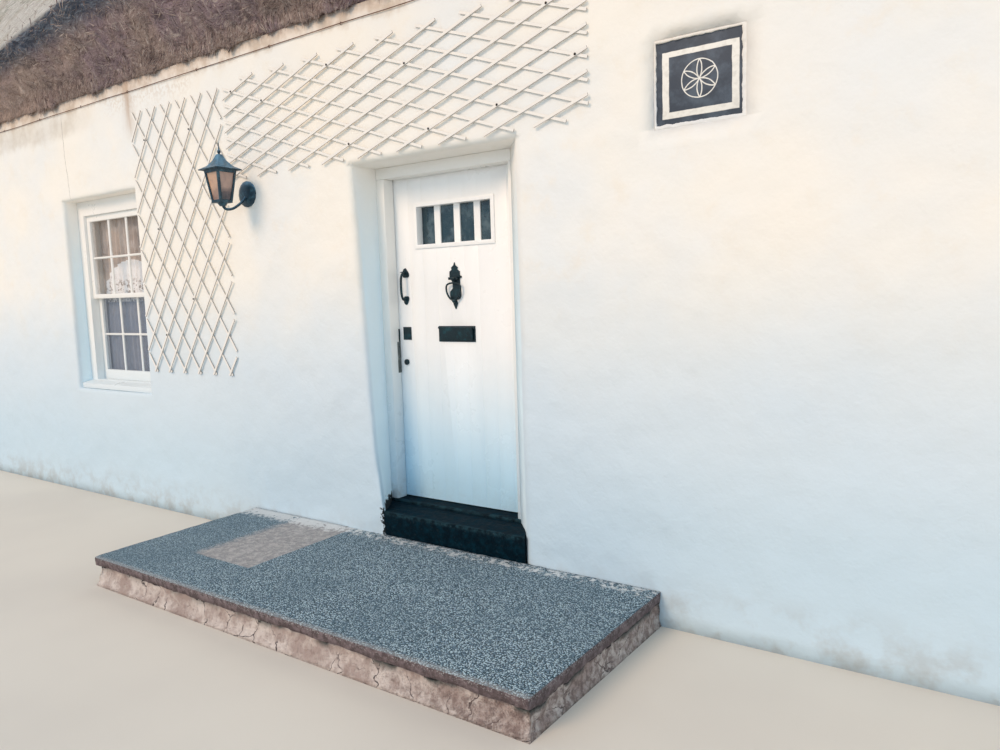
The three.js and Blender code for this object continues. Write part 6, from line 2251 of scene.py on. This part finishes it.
@dataclass
class Fittings:
    """The plaque, the trellises, the lantern and the wire under the eaves."""

    shop: Shop
    finishes: Finishes
    # How far the plaque grows to its left, right, foot and head, and the recess round it
    spread: tuple[float, float, float, float] = (0.0095, 0.0, 0.003, 0.006)
    bed_gap: float = 0.017
    bed_step: float = 0.005
    # The bed's face from the wall's, and its back from the plaque's face
    bed_reach: tuple[float, float] = (0.005, 0.015)
    bed_lumps: tuple[float, float, float] = (0.009, 34.0, 0.35)
    wire_radius: float = 0.0023
    wire_level: float = 2.938
    wire_step: float = 0.045
    sags: int = 34
    slack: tuple[float, float] = (-0.0035, 0.0015)
    staples: int = 16
    staple: tuple[float, float] = (0.0075, 0.0018)
    staple_reach: float = 5.2
    nail: tuple[float, float] = (0.0060, 0.0030)
    # Of each trellis: its first crossing, the pitch of its crossings, and which of them are nailed
    wide: tuple = ((-1.290, 2.793), (0.13875, 0.0485),
                   ((-1, 1), (1, 3), (5, 1), (6, 10), (9, 3), (10, 10), (13, 9), (15, 1), (16, 6)))
    narrow: tuple = ((-2.384, 2.589), (0.0845, 0.120), ((0, 0), (6, 0), (1, 5), (5, 9), (1, 11)))

    def build(self) -> None:
        """Dress the fittings on the front wall."""
        self.plaque()
        for node in ("wide_trellis", "narrow_trellis"):
            self.shop.ease(node, finish=self.finishes.trellis_paint, width=0.0012, segments=1)
        for node, width in (("lantern_bracket", 0.0015), ("lantern_cage", 0.0008)):
            self.shop.ease(node, finish=self.finishes.lantern, width=width)
        self.shop.dress("lantern_panes", self.finishes.amber)
        self.wire()
        self.wire_staples()
        self.nails()

    def plaque(self) -> None:
        """Set the plaque into lime that fills the recess round it, with a ragged inner edge."""
        low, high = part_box("plaque")
        middle = (low + high) / 2
        left, right, foot, head = self.spread
        grown = (Vector((-left, 0, -foot)), Vector((right, 0, head)))
        slab_mesh = self.shop.softened("plaque", width=0.003)
        for vertex in slab_mesh.vertices:
            for axis in (0, 2):
                vertex.co[axis] += grown[int(vertex.co[axis] > middle[axis])][axis]
        self.shop.place("set_plaque", slab_mesh, self.finishes.plaque, ["plaque"])
        inner, gap, step = (low + grown[0], high + grown[1]), self.bed_gap, self.bed_step
        front, back = FRONT + self.bed_reach[0], low.y + self.bed_reach[1]
        xs, zs = (spaced(low[a] - gap, inner[0][a] + 0.0005, inner[1][a] - 0.0005, high[a] + gap, step=step)
                  for a in (0, 2))
        bed = CellSolid(xs, spaced(front, low.y - 0.0005, back, step=step), zs)
        bed.hollow((inner[0].x, front, inner[0].z), (inner[1].x, back, inner[1].z))
        points, faces = bed.skin()
        x, y, z = points.T
        edge = np.min([x - low.x + gap, high.x + gap - x, z - low.z + gap, high.z + gap - z], axis=0)
        mesh = Shop.mesh_from("plaque_bed", points, faces)
        set_attribute(mesh, "loose", np.clip(edge / 0.004, 0, 1) * (y < low.y))
        rough = noisy_skin("plaque_bed_lumps", mesh, self.finishes.limewash, *self.bed_lumps)
        self.shop.place("plaque_bed", rough, self.finishes.limewash)

    def wire(self) -> None:
        """String the wire from end to end with a little slack between its staples."""
        low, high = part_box("eaves_wire")
        middle = (low + high) / 2
        rng = np.random.default_rng(3)
        xs = np.arange(low.x + 0.002, high.x - 0.001, self.wire_step)
        sags = rng.uniform(*self.slack, self.sags)
        slack = np.interp(xs, np.linspace(low.x, high.x, self.sags), sags)
        mesh = Shop.lines("wire_line", [[(x, middle.y, middle.z + s) for x, s in zip(xs, slack)]])
        bench = GeoBench("strung_wire")
        girth = bench.size("Wire Radius", self.wire_radius)
        line = bench.sweep(bench.node("MeshToCurve", {0: bench.base}), 8, girth)
        self.shop.place("strung_wire", bench.run(mesh, line, self.finishes.wire), self.finishes.wire,
                        ["eaves_wire"])

    def nails(self) -> None:
        """Set the rusty nail heads where the trellises' slats cross."""
        spots = []
        trellises = (("wide_trellis", *self.wide), ("narrow_trellis", *self.narrow))
        for node, (x, z), (wide, high), marks in trellises:
            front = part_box(node)[0].y
            spots += [(x + i * wide, front, z - j * high) for i, j in marks]
        bench = GeoBench("nail_heads")
        broad = bench.size("Head Radius", self.nail[0])
        thick = bench.size("Head Thickness", self.nail[1])
        head = bench.node("MeshCone", {"Vertices": 10, "Radius Top": broad * 0.55, "Radius Bottom": broad,
                                       "Depth": thick}, fill_type="NGON")
        stood = bench.node("Transform", {"Geometry": head, "Translation": bench.arrow(1, thick * 0.4),
                                         "Rotation": (math.pi / 2, 0.0, 0.0)})
        self.stud("nail_heads", bench, spots, stood, self.finishes.nail)

    def wire_staples(self) -> None:
        """Drive small staples over the wire at uneven steps."""
        rng = np.random.default_rng(5)
        reach = self.staple_reach
        xs = np.linspace(-reach, reach, self.staples) + rng.uniform(-0.15, 0.15, self.staples)
        bench = GeoBench("wire_staples")
        arc = bench.node("CurveArc", {"Resolution": 9, "Radius": bench.size("Staple Radius", self.staple[0]),
                                      "Start Angle": 0.0, "Sweep Angle": math.pi})
        staple = bench.sweep(arc, 6, bench.size("Staple Wire", self.staple[1]))
        stood = bench.node("Transform", {"Geometry": staple, "Rotation": (math.pi, math.pi / 2, 0.0)})
        spots = [(x, FRONT, self.wire_level) for x in xs]
        self.stud("wire_staples", bench, spots, stood, self.finishes.wire)

    def stud(self, name: str, bench: GeoBench, spots: list[Point], stud: Pattern, finish: Material) -> None:
        """Set one small piece at every spot.

        Args:
            name: the new piece's name.
            bench: the tree that makes the small piece.
            spots: where it goes.
            stud: the small piece, with its seat at the origin.
            finish: its material.
        """
        placed = bench.node("InstanceOnPoints", {"Points": bench.base, "Instance": stud})
        self.shop.place(name, bench.run(Shop.mesh_from(name, spots), placed, finish), finish)


@dataclass
class RoofTimbers:
    """The couples and the ridge beam inside the roof."""

    shop: Shop
    finishes: Finishes
    nodes: tuple[str, ...] = ("left_roof_couple", "middle_roof_couple", "right_roof_couple", "ridge_beam")

    def build(self) -> None:
        """Ease the timbers' arrises."""
        for node in self.nodes:
            self.shop.ease(node, finish=self.finishes.timber, width=0.008)


@dataclass
class Studio:
    """The camera, the floor and the light."""

    position: Point = (2.568, -5.359, 1.493)
    # Focal length in pixels of a picture 1000 wide, and the camera's turns in degrees
    focal: float = 759.5
    yaw: float = 34.681
    pitch: float = 6.267
    roll: float = -1.836
    sensor: float = 36.0
    floor_reach: float = 40.0
    sky: Colour = (0.66, 0.83, 1.0, 1.0)
    sky_strength: float = 0.855

    def build(self) -> None:
        """Set up the whole studio."""
        self.camera()
        self.floor()
        self.light()

    def camera(self) -> None:
        """Stand the camera where the photograph was taken from."""
        data = bpy.data.cameras.new("photo_view")
        data.sensor_width = self.sensor
        data.lens = self.focal * self.sensor / 1000
        data.clip_start, data.clip_end = 0.05, 200.0
        yaw, pitch, roll = (math.radians(v) for v in (self.yaw, self.pitch, self.roll))
        up = Vector((0, 0, 1))
        right = Vector((math.cos(yaw), math.sin(yaw), 0))
        ahead = Vector((-math.sin(yaw), math.cos(yaw), 0))
        aim = ahead * math.cos(pitch) - up * math.sin(pitch)
        top = ahead * math.sin(pitch) + up * math.cos(pitch)
        across = right * math.cos(roll) + top * math.sin(roll)
        above = -right * math.sin(roll) + top * math.cos(roll)
        camera = bpy.data.objects.new("photo_view", data)
        rows = [(across[a], above[a], -aim[a], self.position[a]) for a in range(3)]
        camera.matrix_world = Matrix((*rows, (0, 0, 0, 1)))
        bpy.context.scene.collection.objects.link(camera)
        bpy.context.scene.camera = camera

    def floor(self) -> None:
        """Lay the pale floor."""
        reach = self.floor_reach
        corners = [(-reach, -reach, 0), (reach, -reach, 0), (reach, reach, 0), (-reach, reach, 0)]
        mesh = Shop.mesh_from("studio_floor", corners, [(0, 1, 2, 3)])
        mesh.materials.append(StudioFloor().build())
        ground = bpy.data.objects.new("studio_floor", mesh)
        bpy.context.scene.collection.objects.link(ground)

    def light(self) -> None:
        """Light the scene by a pale sky, one soft sun and a fill."""
        world = bpy.data.worlds.new("studio_sky")
        world.use_nodes = True
        sky = world.node_tree.nodes["Background"]
        sky.inputs[0].default_value = self.sky
        sky.inputs[1].default_value = self.sky_strength
        bpy.context.scene.world = world
        self.lamp("soft_sun", 1.63, 22, (1.0, 0.70, 0.47), (0.25, 0.85, -0.60))
        self.lamp("fill", 0.90, 60, (0.85, 0.93, 1.0), (-0.65, 0.70, 0.22))
        bpy.context.scene.view_settings.view_transform = "Standard"

    @staticmethod
    def lamp(name: str, strength: float, spread: float, colour: Point, aim: Point) -> None:
        """Hang one distant lamp.

        Args:
            name: the lamp's name.
            strength: how strong its light is.
            spread: how wide it looks from the cottage, in degrees.
            colour: the colour of its light.
            aim: the direction of its light.
        """
        data = bpy.data.lights.new(name, "SUN")
        data.energy, data.angle, data.color = strength, math.radians(spread), colour
        lamp = bpy.data.objects.new(name, data)
        lamp.rotation_mode = "QUATERNION"
        lamp.rotation_quaternion = Vector(aim).to_track_quat("-Z", "Y")
        bpy.context.scene.collection.objects.link(lamp)


def main() -> None:
    """Dress the whole cottage."""
    logging.basicConfig(level=logging.INFO, format="%(name)s %(message)s")
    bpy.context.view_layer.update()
    Studio().build()
    finishes = Finishes()
    shop = Shop()
    for part in (Walls, ThatchRoof, Entrance, FrontDoor, Windows, Fittings, RoofTimbers):
        part(shop, finishes).build()
    LOG.info("pieces made: %d", len(shop.made))


if __name__ == "__main__":
    main()
